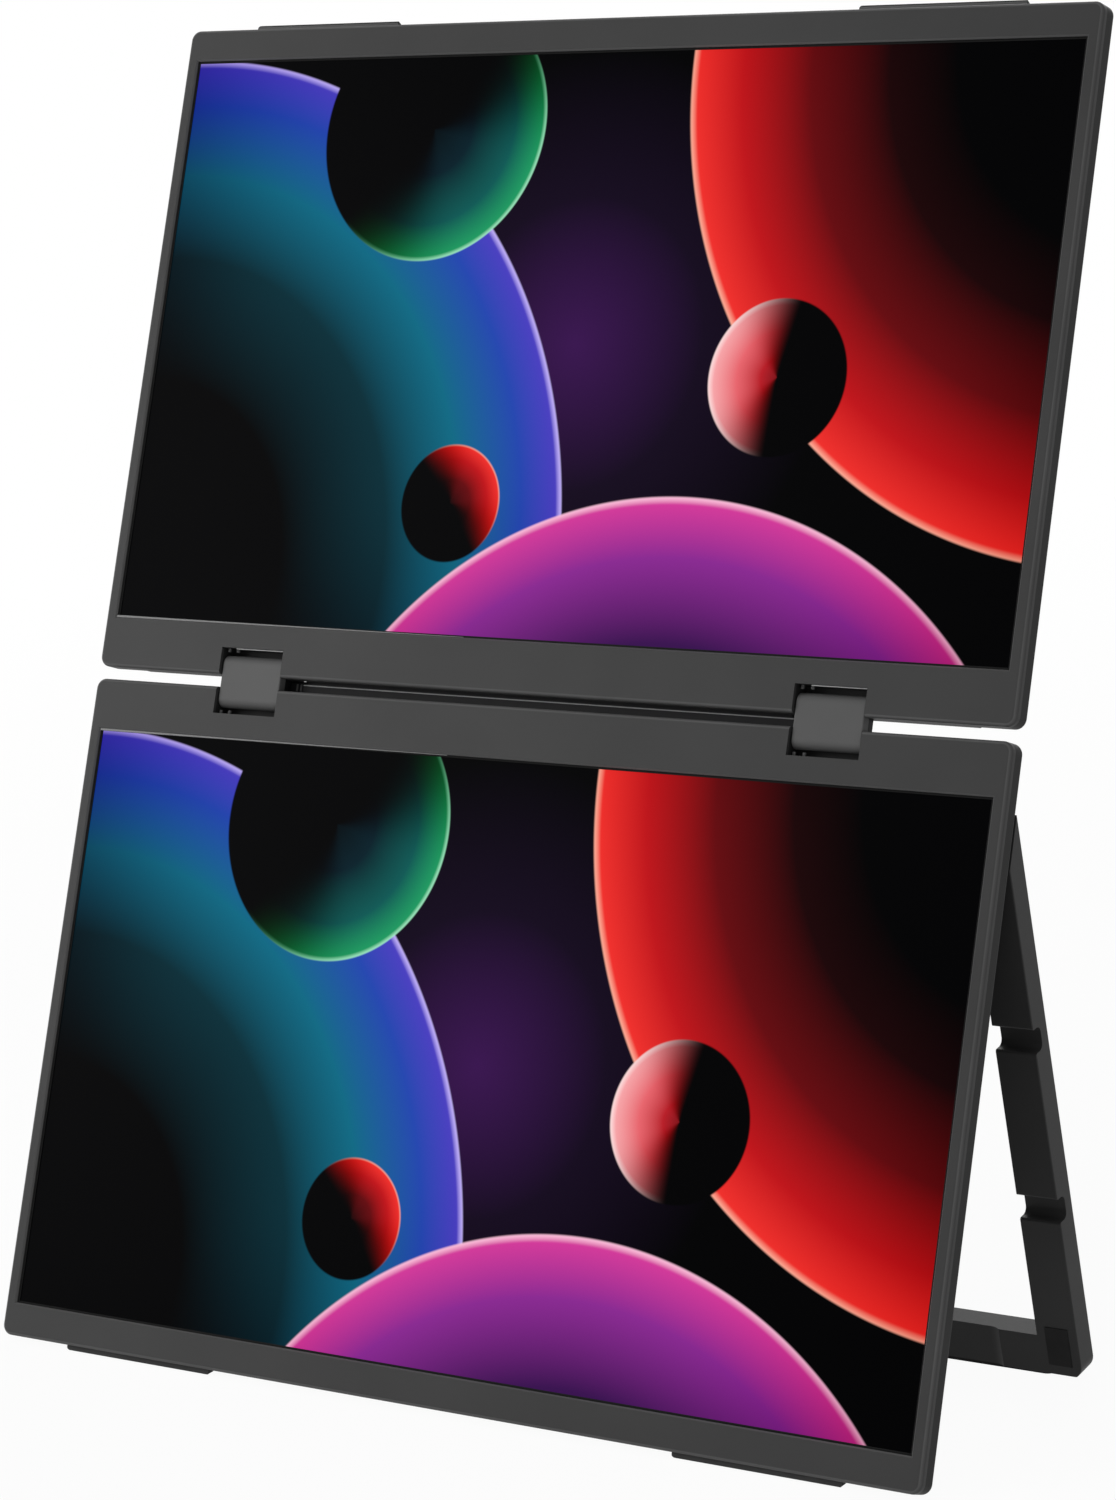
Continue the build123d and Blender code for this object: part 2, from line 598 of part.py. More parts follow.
def gear_span(upper):
    """Reach of the gears along the shaft: the two axes' gears run side by side, so each axis turns alone."""
    if upper:
        return PINION_X1 - PINION_W, PINION_X1
    return PINION_X0, PINION_X0 + PINION_W


def hinge_shaft(upper):
    """Shaft with its pinion and collar, drawn for the lower right hinge."""
    start, end = gear_span(upper)
    collar = (PINION_X0, start) if upper else (end, PINION_X1)
    body = rod_x(SHAFT_R, SHAFT_X0, SHAFT_X1, AXIS_Y, AXIS_Z)
    body += rod_x(GEAR_ROOT_R, *collar, AXIS_Y, AXIS_Z)
    return body + bar(Pos(AXIS_Y, AXIS_Z) * gear_outline(upper), start, end)


def shaft_nut():
    outline = RegularPolygon(SHAFT_R + NUT_WALL, 6, major_radius=False)
    nut = bar(Pos(AXIS_Y, AXIS_Z) * outline, NUT_X, NUT_X + NUT_T)
    return nut - rod_x(SHAFT_R + SEAT_FIT, NUT_X - 1, NUT_X + NUT_T + 1, AXIS_Y, AXIS_Z)


def friction_washers():
    """Spring washers between the outer link plate and the pinion, on both axes of the right hinge."""
    shapes = []
    for sign in (-1, 1):
        for step in range(WASHER_COUNT):
            x0 = PINION_X1 + FREE_FIT + step * (WASHER_T + WASHER_GAP)
            ring = Circle(WASHER_R) - Circle(SHAFT_R + RUN_FIT)
            shapes.append(bar(Pos(AXIS_Y, -sign * AXIS_Z) * ring, x0, x0 + WASHER_T))
    return shapes


def link_plate(x0):
    """Steel plate that carries both shafts and both damper pins."""
    outline = Pos(AXIS_Y, 0) * Rot(0, 0, 90) * stadium(AXIS_SPACING + 2 * PLATE_R, 2 * PLATE_R)
    for z in (AXIS_Z, -AXIS_Z):
        outline -= Pos(AXIS_Y, z) * Circle(SHAFT_R + RUN_FIT)
    for z in (DAMPER_Z, -DAMPER_Z):
        outline -= Pos(AXIS_Y, z) * Circle(DAMPER_PIN_R + SEAT_FIT)
    return bar(outline, x0, x0 + PLATE_T)


def damper_gear(z, half_step):
    outline = Pos(AXIS_Y, z) * (gear_outline(half_step) - Circle(DAMPER_PIN_R + RUN_FIT))
    return bar(outline, *gear_span(z > 0))


def damper_pins():
    return [rod_x(DAMPER_PIN_R, PLATE_IN_X, PLATE_OUT_X + PLATE_T, AXIS_Y, z) for z in (-DAMPER_Z, DAMPER_Z)]


def link_cover():
    """Hollow capsule round the hinge mechanism, drawn for the right hinge."""
    x0 = NOTCH_X0 + LINK_CLEAR
    x1 = NOTCH_X1 - LINK_CLEAR
    turn = Pos(AXIS_Y, 0) * Rot(0, 0, 90)
    body = bar(turn * stadium(AXIS_SPACING + 2 * LINK_R, 2 * LINK_R), x0, x1)
    ends = body.faces().sort_by(Axis.X)
    body = fillet(ends[0].edges() + ends[-1].edges(), LINK_EDGE_R)
    inner = LINK_R - LINK_WALL
    body -= bar(turn * stadium(AXIS_SPACING + 2 * inner, 2 * inner), x0 + LINK_END_WALL, x1 - LINK_END_WALL)
    for z in (AXIS_Z, -AXIS_Z):
        body -= rod_x(SHAFT_R + FREE_FIT, x1 - LINK_END_WALL - 1, x1 + 1, AXIS_Y, z)
    return body


def spine_bar():
    """Hollow bar that joins the two hinge links and carries the cable, with tongues over the hinge bulges."""
    body = block(-SPINE_END_X, SPINE_END_X, SPINE_Y0, SPINE_Y1, -SPINE_HALF_H, SPINE_HALF_H)
    back = block(-SPINE_TONGUE_X, SPINE_TONGUE_X, SPINE_Y1, SPINE_BACK_Y, -SPINE_BACK_HALF_H, SPINE_BACK_HALF_H)
    rear_edges = back.edges().filter_by_position(Axis.Y, SPINE_BACK_Y - 0.01, SPINE_BACK_Y + 0.01)
    back = fillet(rear_edges, SPINE_BACK_R)
    for x in (-1, 1):
        back -= block(x * SPINE_BACK_HALF_X, x * FAR, SPINE_Y1 - 1, SPINE_TONGUE_Y, -FAR, FAR)
    body += back
    for x in (-1, 1):
        body += block(x * (NOTCH_X0 + LINK_CLEAR + LINK_EDGE_R), x * SPINE_END_X, AXIS_Y + LINK_R, SPINE_Y0,
                      -SPINE_HALF_H, SPINE_HALF_H)
    half = SPINE_BACK_HALF_H - SPINE_WALL
    end = SPINE_BACK_HALF_X - SPINE_WALL
    return body - block(-end, end, SPINE_Y1, SPINE_BACK_Y - SPINE_WALL, -half, half)


def spine_cable():
    half = SPINE_BACK_HALF_H - SPINE_WALL - SPINE_CABLE_GAP
    end = SPINE_BACK_HALF_X - SPINE_WALL - SPINE_CABLE_END
    return block(-end, end, SPINE_Y1, SPINE_BACK_Y - SPINE_WALL - SPINE_CABLE_GAP, -half, half)


def stand_swing(shape):
    """Turn a folded kickstand piece about its pivot to the open pose."""
    return Pos(0, PIVOT_Y, PIVOT_Z) * Rot(OPEN, 0, 0) * Pos(0, -PIVOT_Y, -PIVOT_Z) * shape


def above_floor(rise):
    """Large block that holds everything higher than a height over the floor."""
    return Rot(LEAN, 0, 0) * Pos(0, 0, FLOOR_LEVEL + rise + FAR / 2) * Box(FAR, FAR, FAR)


def cable_notch(z):
    """Channel across a leg for a plug lead, with rounded lips."""
    half = CABLE_NOTCH_H / 2
    deep = STAND_Y0 + CABLE_NOTCH_DEEP
    mouth = STAND_Y0 - 1
    profile = Polyline((mouth, z - half), (deep, z - half), (deep, z + half), (mouth, z + half), close=True)
    face = make_face(profile)
    face = fillet(face.vertices().sort_by(Axis.X)[-2:], CABLE_NOTCH_R)
    lips = [Pos(STAND_Y0, z + s * half) * Rectangle(2 * CABLE_LIP_R, 2 * CABLE_LIP_R) for s in (-1, 1)]
    for s, lip in zip((-1, 1), lips):
        face += lip - Pos(STAND_Y0 + CABLE_LIP_R, z + s * (half + CABLE_LIP_R)) * Circle(CABLE_LIP_R)
    return bar(face, -HALF_W - 1, HALF_W + 1)


def stand_frame():
    """U frame: two legs and a cross bar, bevelled at the top as a stop, flat to the floor below."""
    outline = Pos(0, (LEG_TOP_Z + LEG_BOTTOM_Z) / 2) * Rectangle(2 * HALF_W, LEG_TOP_Z - LEG_BOTTOM_Z)
    outline = fillet(outline.vertices().sort_by(Axis.Y)[:2], STAND_CORNER_R)
    body = slab(outline, STAND_Y0, STAND_Y1)
    body = fillet(body.faces().sort_by(Axis.Y)[-1].edges(), STAND_EDGE_R)
    body = fillet(body.faces().sort_by(Axis.Y)[0].edges(), STAND_EDGE_R / 2)
    bar_top = LEG_BOTTOM_Z + STAND_BAR
    body -= block(-STAND_INNER_X, STAND_INNER_X, STAND_Y0 - 1, STAND_Y1 + 1, bar_top, LEG_TOP_Z + 1)
    relief_y = STAND_Y0 + RELIEF_DEEP
    relief = block(-RELIEF_HALF_W, RELIEF_HALF_W, STAND_Y0 - RELIEF_R, relief_y,
                   LEG_BOTTOM_Z - 1, bar_top + 1)
    ends = relief.edges().filter_by(Axis.Z).filter_by_position(Axis.Y, relief_y - 0.01, relief_y + 0.01)
    body -= fillet(ends, RELIEF_R)
    for z in CABLE_NOTCH_Z:
        body -= cable_notch(z)
    for sign in (-1, 1):
        ends = (sign * (STAND_INNER_X - 1), sign * (STAND_INNER_X + BUSH_L + PIN_END_GAP))
        body -= rod_x(BUSH_R + SEAT_FIT, *ends, PIVOT_Y, PIVOT_Z)
        body -= block(sign * PAD_X - PAD_W / 2, sign * PAD_X + PAD_W / 2, STAND_Y0 - 1, STAND_Y0 + PAD_SINK,
                      PAD_Z - PAD_H / 2, PAD_Z + PAD_H / 2)
    body = stand_swing(body)
    body -= block(-FAR, FAR, -FAR, PANEL_T + STAND_STOP_GAP, -FAR, FAR)
    tip_z = max(v.Z for v in body.vertices())
    body -= block(-FAR, FAR, -FAR, FAR, tip_z - STAND_TIP_TRIM, FAR)
    return body & above_floor(SOLE_T)


def stand_sole():
    """Rubber strip under the cross bar that stands flat on the floor."""
    corner = stand_swing(Pos(0, STAND_Y0 + STAND_T / 2, LEG_BOTTOM_Z) * Box(0.01, 0.01, 0.01)).center()
    upright = Rot(-LEAN, 0, 0) * Pos(corner.X, corner.Y, corner.Z) * Box(0.01, 0.01, 0.01)
    y = upright.center().Y
    outline = RectangleRounded(2 * SOLE_HALF_L, SOLE_W, SOLE_W / 2 - SEAT_FIT)
    return Rot(LEAN, 0, 0) * extrude(Pos(0, y, FLOOR_LEVEL) * outline, amount=SOLE_T)


def stand_pad():
    """Bumper pad let into the front of a leg."""
    gap = SEAT_FIT * 2
    body = block(PAD_X - PAD_W / 2 + gap, PAD_X + PAD_W / 2 - gap, STAND_Y0 - PAD_PROUD, STAND_Y0 + PAD_SINK,
                 PAD_Z - PAD_H / 2 + gap, PAD_Z + PAD_H / 2 - gap)
    return stand_swing(body)


def stand_bushing():
    ring = Circle(BUSH_R) - Circle(PIN_R + RUN_FIT)
    return stand_swing(bar(Pos(PIVOT_Y, PIVOT_Z) * ring, STAND_INNER_X, STAND_INNER_X + BUSH_L))


def stand_bracket():
    """Steel lug on a base plate screwed to the rear cover."""
    base = block(LUG_BASE_X, LUG_X1, PANEL_T, PANEL_T + LUG_BASE_T, PIVOT_Z - LUG_BASE_HALF_H,
                 PIVOT_Z + LUG_BASE_HALF_H)
    web = make_face(Polyline((PANEL_T, PIVOT_Z - LUG_FOOT), (PIVOT_Y, PIVOT_Z - LUG_R),
                             (PIVOT_Y, PIVOT_Z + LUG_R), (PANEL_T, PIVOT_Z + LUG_FOOT), close=True))
    body = base + bar(web + Pos(PIVOT_Y, PIVOT_Z) * Circle(LUG_R), LUG_X0, LUG_X1)
    body -= rod_x(PIN_R + SEAT_FIT, LUG_X0 - 1, LUG_X1 + 1, PIVOT_Y, PIVOT_Z)
    for x, z in BRACKET_SCREW_POINTS:
        body -= rod_y(BRACKET_SCREW[0] + SEAT_FIT, PANEL_T - 1, PANEL_T + LUG_BASE_T + 1, x, z)
    return body


def stand_pin():
    pin = rod_x(PIN_R, LUG_X0, STAND_INNER_X + BUSH_L - PIN_END_GAP, PIVOT_Y, PIVOT_Z)
    return pin + rod_x(PIN_HEAD_R, LUG_X0 - PIN_HEAD_T, LUG_X0, PIVOT_Y, PIVOT_Z)


def stand_washer():
    ring = Circle(LUG_R - STAND_WASHER_STEP) - Circle(PIN_R + RUN_FIT)
    return bar(Pos(PIVOT_Y, PIVOT_Z) * ring, LUG_X1, LUG_X1 + LUG_GAP - WASHER_SLACK)


def port_outline(grow=0.0):
    return Rot(0, 0, 90) * stadium(PORT_SIZE[0] + grow, PORT_SIZE[1] + grow)


def electronics_cover():
    """Raised box on the back of the lower display with sockets, vents and button holes in its walls."""
    middle = (BOX_Z0 + BOX_Z1) / 2
    outline = Pos(0, middle) * RectangleRounded(2 * BOX_HALF_W, BOX_Z1 - BOX_Z0, BOX_R)
    body = slab(outline, PANEL_T, BOX_Y1)
    body = fillet(body.faces().sort_by(Axis.Y)[-1].edges(), BOX_EDGE_R)
    hollow = RectangleRounded(2 * (BOX_HALF_W - BOX_WALL), BOX_Z1 - BOX_Z0 - 2 * BOX_WALL, BOX_R - BOX_WALL)
    inside_y = BOX_Y1 - BOX_WALL
    body -= slab(Pos(0, middle) * hollow, PANEL_T - 1, inside_y)
    for x, z in BOARD_SCREW_POINTS:
        body += rod_y(BOARD_POST_R, BOARD_Y0 + BOARD_T, inside_y + 0.1, x, z)
        body -= rod_y(BOARD_SCREW[0] + SEAT_FIT, BOARD_Y0, inside_y + BOX_WALL / 2, x, z)
    for x, z in BOX_SCREW_POINTS:
        body += rod_y(BOX_POST_R, PANEL_T, inside_y + 0.1, x, z)
        body -= rod_y(BOX_SCREW[1] + FREE_FIT, BOX_SCREW_SEAT, BOX_Y1 + 1, x, z)
        body -= rod_y(BOX_SCREW[0] + SEAT_FIT, PANEL_T - 1, BOX_Y1, x, z)
    wall = (BOX_HALF_W - BOX_WALL - 1, BOX_HALF_W + 1)
    for z in CABLE_NOTCH_Z:
        body -= bar(Pos(PORT_Y, z) * port_outline(PORT_CLEAR), *wall)
    hdmi_hole = Rectangle(HDMI_SIZE[1] + PORT_CLEAR, HDMI_SIZE[0] + PORT_CLEAR)
    body -= flip_x(bar(Pos(PORT_Y, CABLE_NOTCH_Z[0]) * hdmi_hole, *wall))
    body -= flip_x(rod_x(JACK_NOSE_R + FREE_FIT, *wall, PORT_Y, CABLE_NOTCH_Z[1]))
    for z in BUTTON_Z.values():
        opening = Rot(0, 0, 90) * stadium(BUTTON_SIZE[0] + 2 * FREE_FIT, BUTTON_SIZE[1] + 2 * FREE_FIT)
        body -= flip_x(bar(Pos(PORT_Y, z) * opening, *wall))
    slots = [(0, VENT_Z - VENT_PITCH * row, VENT_SLOT) for row in range(VENT_COUNT)]
    for x in (-SPEAKER_X, SPEAKER_X):
        slots += [(x, SPEAKER_Z + SPEAKER_PITCH * row, SPEAKER_SLOT) for row in (-1, 0, 1)]
    for x, z, size in slots:
        body -= slab(Pos(x, z) * stadium(*size), inside_y - 1, BOX_Y1 + 1)
    return body


def main_board():
    """Circuit board with its chips, inductors, cable headers and button switches."""
    body = block(-BOARD_HALF_W, BOARD_HALF_W, BOARD_Y0, BOARD_Y0 + BOARD_T, BOARD_Z0, BOARD_Z1)
    for x, rise, width, depth, height in BOARD_CHIPS:
        z = BOARD_MID_Z + rise
        body += block(x - width / 2, x + width / 2, BOARD_Y0 - height, BOARD_Y0, z - depth / 2, z + depth / 2)
    stop = -BOX_HALF_W + BOX_WALL + BUTTON_FLANGE + BUTTON_TRAVEL + 2 * BUTTON_GAP
    half = SWITCH_SIZE / 2
    for z in BUTTON_Z.values():
        body += block(stop, stop + SWITCH_L, PORT_Y - SWITCH_DROP, BOARD_Y0 + BOARD_T, z - half, z + half)
    for x, z in BOARD_SCREW_POINTS:
        body -= rod_y(BOARD_SCREW[0] + SEAT_FIT, BOARD_Y0 - 3, BOARD_Y0 + 3, x, z)
    end = BOX_HALF_W - BOX_WALL - JACK_BODY[0] - JACK_CLEAR
    half = JACK_KEEL + JACK_CLEAR
    z = CABLE_NOTCH_Z[1]
    return body - flip_x(block(end, BOX_HALF_W, BOARD_Y0 - 1, BOARD_Y0 + BOARD_T + 1, z - half, z + half))


def usb_c_port(z):
    """Socket shell with its tongue, facing a cable notch of the right leg."""
    shell = bar(Pos(PORT_Y, z) * port_outline(), PORT_X - PORT_DEEP, PORT_X)
    shell -= bar(Pos(PORT_Y, z) * port_outline(-2 * PORT_SHELL), PORT_X - PORT_DEEP + PORT_BACK, PORT_X + 1)
    return shell + port_tongue(z, PORT_TONGUE)


def port_tongue(z, size):
    """Contact tongue in the middle of a socket: half width and thickness."""
    half, thick = size
    return block(PORT_X - PORT_DEEP, PORT_X - TONGUE_SETBACK, PORT_Y - thick / 2, PORT_Y + thick / 2,
                 z - half, z + half)


def hdmi_port():
    """Flat socket shell with its tongue, facing a cable notch of the left leg."""
    z = CABLE_NOTCH_Z[0]
    width, height = HDMI_SIZE
    inner = Rectangle(height - 2 * PORT_SHELL, width - 2 * PORT_SHELL)
    shell = bar(Pos(PORT_Y, z) * Rectangle(height, width), PORT_X - PORT_DEEP, PORT_X)
    shell -= bar(Pos(PORT_Y, z) * inner, PORT_X - PORT_DEEP + PORT_BACK, PORT_X + 1)
    return flip_x(shell + port_tongue(z, HDMI_TONGUE))


def audio_jack():
    """Round jack socket: shoulders on the board, keel in a notch of the board, nose in the wall of the box."""
    x1 = BOX_HALF_W - BOX_WALL
    z = CABLE_NOTCH_Z[1]
    half = JACK_BODY[1] / 2
    body = block(x1 - JACK_BODY[0], x1 - BUTTON_GAP, PORT_Y - JACK_DROP, BOARD_Y0, z - half, z + half)
    body += block(x1 - JACK_BODY[0], x1 - BUTTON_GAP, BOARD_Y0, PORT_Y + JACK_DROP,
                  z - JACK_KEEL, z + JACK_KEEL)
    body += rod_x(JACK_NOSE_R, x1 - 1, PORT_X, PORT_Y, z)
    return flip_x(body - rod_x(JACK_BORE_R, x1 - JACK_BORE_L, BOX_HALF_W + 1, PORT_Y, z))


def push_button(z):
    """Button cap with a retaining flange behind the wall."""
    turn = Pos(PORT_Y, z) * Rot(0, 0, 90)
    inside = BOX_HALF_W - BOX_WALL - BUTTON_GAP
    cap = bar(turn * stadium(*BUTTON_SIZE), inside - BUTTON_FLANGE, BOX_HALF_W + BUTTON_PROUD)
    lip = [size + 2 * BUTTON_LIP for size in BUTTON_SIZE]
    return flip_x(cap + bar(turn * stadium(*lip), inside - BUTTON_FLANGE, inside))


def speaker():
    """Small speaker behind the slots in the back of the box."""
    width, height, deep = SPEAKER_SIZE
    y1 = BOX_Y1 - BOX_WALL
    body = slab(Pos(SPEAKER_X, SPEAKER_Z) * Rectangle(width, height), y1 - deep, y1)
    return body - slab(Pos(SPEAKER_X, SPEAKER_Z) * stadium(*SPEAKER_CONE), y1 - SPEAKER_RIM, y1 + 1)


def left_right(name, shape):
    """Right piece as drawn and its mirror image on the left."""
    return {name + "_left": flip_x(shape), name + "_right": shape}


def build_nodes():
    """Every node of the object in the modelling frame."""
    nodes = {}
    turn_up = {"lower": lambda s: s, "upper": flip_z}
    leaf_seat = FLOOR_Y - LEAF_T
    leaf_length = LEAF_T + LEAF_SCREW_BITE
    shells = {"lower": lower_cover(), "upper": rear_shell()}
    for level, place in turn_up.items():
        leaf_screws = [inner_screw(LEAF_SCREW, leaf_length, leaf_seat, x, z) for x, z in LEAF_SCREW_POINTS]
        nodes[level + "_bezel"] = place(bezel())
        nodes[level + "_rear_cover"] = place(shells[level])
        nodes[level + "_lcd_cell"] = place(lcd_cell())
        nodes[level + "_light_guide"] = place(light_guide())
        nodes[level + "_backlight_tray"] = place(backlight_tray())
        nodes[level + "_driver_board"] = place(driver_board())
        nodes[level + "_foot_left"] = place(flip_x(foot()))
        nodes[level + "_foot_right"] = place(foot())
        nodes[level + "_hinge_brackets"] = place(group(both_sides(hinge_bracket())))
        nodes[level + "_hinge_shafts"] = place(group(both_sides(hinge_shaft(level == "upper"))))
        nodes[level + "_shaft_nuts"] = place(group(both_sides(shaft_nut())))
        nodes[level + "_hinge_screws"] = place(group([s for one in leaf_screws for s in both_sides(one)]))
        nodes[level + "_case_screws"] = place(case_screws())
    cover = link_cover()
    front = block(0, FAR, -FAR, AXIS_Y, -FAR, FAR)
    nodes.update(left_right("link_cover_front", cover & front))
    nodes.update(left_right("link_cover_rear", cover - front))
    plates = [link_plate(PLATE_IN_X), link_plate(PLATE_OUT_X)]
    nodes["link_plates"] = group([s for one in plates for s in both_sides(one)])
    nodes["damper_pins"] = group([s for one in damper_pins() for s in both_sides(one)])
    nodes["friction_washers"] = group([s for one in friction_washers() for s in both_sides(one)])
    nodes["damper_gears_lower"] = group(both_sides(damper_gear(-DAMPER_Z, True)))
    nodes["damper_gears_upper"] = group(both_sides(damper_gear(DAMPER_Z, False)))
    nodes["spine_bar"] = spine_bar()
    nodes["spine_cable"] = spine_cable()
    nodes["electronics_cover"] = electronics_cover()
    nodes["main_board"] = main_board()
    nodes["usb_c_port_upper"] = usb_c_port(CABLE_NOTCH_Z[0])
    nodes["usb_c_port_lower"] = usb_c_port(CABLE_NOTCH_Z[1])
    nodes["mini_hdmi_port"] = hdmi_port()
    nodes["audio_jack"] = audio_jack()
    nodes.update(left_right("speaker", speaker()))
    for name, z in BUTTON_Z.items():
        nodes[name] = push_button(z)
    nodes["box_screws"] = group([screw(BOX_SCREW, BOX_SCREW_SEAT - FLOOR_Y, BOX_SCREW_SEAT, x, z)
                                 for x, z in BOX_SCREW_POINTS])
    nodes["board_screws"] = group([inner_screw(BOARD_SCREW, BOARD_T + BOARD_SCREW_BITE, BOARD_Y0, x, z)
                                   for x, z in BOARD_SCREW_POINTS])
    nodes["stand_frame"] = stand_frame()
    nodes["stand_sole"] = stand_sole()
    nodes["stand_pads"] = group(both_sides(stand_pad()))
    nodes["stand_bushings"] = group(both_sides(stand_bushing()))
    nodes.update(left_right("stand_bracket", stand_bracket()))
    nodes["stand_pins"] = group(both_sides(stand_pin()))
    nodes["stand_washers"] = group(both_sides(stand_washer()))
    seat = PANEL_T + LUG_BASE_T
    length = LUG_BASE_T + FLOOR_T - BRACKET_TIP_GAP
    bracket_screws = [screw(BRACKET_SCREW, length, seat, x, z) for x, z in BRACKET_SCREW_POINTS]
    nodes["bracket_screws"] = group([s for one in bracket_screws for s in both_sides(one)])
    return nodes


def placement(nodes):
    """Lean the stack back and move its bottom centre to the origin."""
    boxes = [(Rot(-LEAN, 0, 0) * shape).bounding_box() for shape in nodes.values()]
    y0 = min(b.min.Y for b in boxes)
    y1 = max(b.max.Y for b in boxes)
    z0 = min(b.min.Z for b in boxes)
    return Pos(0, -(y0 + y1) / 2, -z0) * Rot(-LEAN, 0, 0)


NODES = build_nodes()
PLACE = placement(NODES)
for node_name, node_shape in NODES.items():
    export_step(PLACE * node_shape, f"parts/{node_name}.step")
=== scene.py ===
"""Looks of a dual folding portable monitor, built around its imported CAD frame.

Lengths are in millimetres where a name ends in _mm and in metres elsewhere, in the frame of the CAD part.
"""

import json
import logging
import math
from abc import ABC, abstractmethod
from collections.abc import Callable
from dataclasses import dataclass, field
from enum import Enum
from functools import partial

import bpy
from mathutils import Euler, Matrix, Vector


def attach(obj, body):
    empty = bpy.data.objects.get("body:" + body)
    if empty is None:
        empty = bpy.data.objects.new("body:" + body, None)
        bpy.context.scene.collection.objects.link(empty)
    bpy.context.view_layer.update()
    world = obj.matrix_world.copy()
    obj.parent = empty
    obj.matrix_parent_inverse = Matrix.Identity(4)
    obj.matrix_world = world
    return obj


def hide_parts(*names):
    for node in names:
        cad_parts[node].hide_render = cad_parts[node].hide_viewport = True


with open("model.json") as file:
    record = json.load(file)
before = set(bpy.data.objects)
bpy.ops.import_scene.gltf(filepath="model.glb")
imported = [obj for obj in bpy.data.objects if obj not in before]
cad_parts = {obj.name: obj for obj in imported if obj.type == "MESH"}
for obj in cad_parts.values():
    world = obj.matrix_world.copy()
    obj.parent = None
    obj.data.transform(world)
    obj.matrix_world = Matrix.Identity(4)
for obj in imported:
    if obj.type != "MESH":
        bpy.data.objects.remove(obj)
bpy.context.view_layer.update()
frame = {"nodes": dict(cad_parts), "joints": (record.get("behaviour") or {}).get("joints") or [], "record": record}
MM = 0.001
FACING = 0.9
LOG = logging.getLogger("dual_monitor")

Node = bpy.types.Node
Piece = bpy.types.Object
Socket = bpy.types.NodeSocket
Adder = Callable[..., Node]
Pair = tuple[float, float]
Triple = tuple[float, float, float]
Stops = tuple[tuple[float, str], ...]


# Node trees and colours


def linear(code: str) -> tuple[float, float, float, float]:
    """Turn an sRGB hex code into a linear colour.

    Args:
        code: six hex digits after a hash sign.

    Returns:
        Linear red, green, blue and an alpha of one.
    """
    parts = [int(code[i:i + 2], 16) / 255 for i in (1, 3, 5)]
    red, green, blue = (p / 12.92 if p <= 0.04045 else ((p + 0.055) / 1.055) ** 2.4 for p in parts)
    return red, green, blue, 1.0


def add_node(tree: bpy.types.NodeTree, kind: str, settings: dict | None = None,
             links: dict | None = None) -> Node:
    """Add a node with its settings and links.

    Args:
        tree: the material's or world's node tree.
        kind: the node's type name, without ShaderNode in front.
        settings: values by input name or number, by attribute name, or colour stops under "stops".
        links: what feeds each input, by its name or number: a socket, or a node for its first output.

    Returns:
        The new node.
    """
    node = tree.nodes.new(f"ShaderNode{kind}")
    for key, value in (settings or {}).items():
        if key == "stops":
            elements = node.color_ramp.elements
            while len(elements) < len(value):
                elements.new(1.0)
            for element, (place, code) in zip(elements, value):
                element.position = place
                element.color = linear(code)
        elif isinstance(key, int) or key in node.inputs:
            node.inputs[key].default_value = value
        else:
            setattr(node, key, value)
    for key, source in (links or {}).items():
        tree.links.new(source.outputs[0] if isinstance(source, Node) else source, node.inputs[key])
    return node


def looked_at(add: Adder) -> Node:
    """Tell apart where the camera, a reflection or a look through glass meets a surface.

    Args:
        add: adds a node to the material or world.

    Returns:
        The node that gives one there and nought elsewhere.
    """
    path = add("LightPath")
    direct = add("Math", {"operation": "MAXIMUM"},
                 {0: path.outputs["Is Camera Ray"], 1: path.outputs["Is Transmission Ray"]})
    return add("Math", {"operation": "MAXIMUM"}, {0: direct, 1: path.outputs["Is Glossy Ray"]})


# The leaned frame of the displays


class Turn(Enum):
    """Where the upper face of a piece points once it is placed, as rows of a turning matrix."""

    UP = ((1, 0, 0), (0, 1, 0), (0, 0, 1))
    FRONT = ((1, 0, 0), (0, 0, -1), (0, 1, 0))
    REAR = ((1, 0, 0), (0, 0, 1), (0, -1, 0))
    LEFT = ((0, 0, -1), (-1, 0, 0), (0, 1, 0))


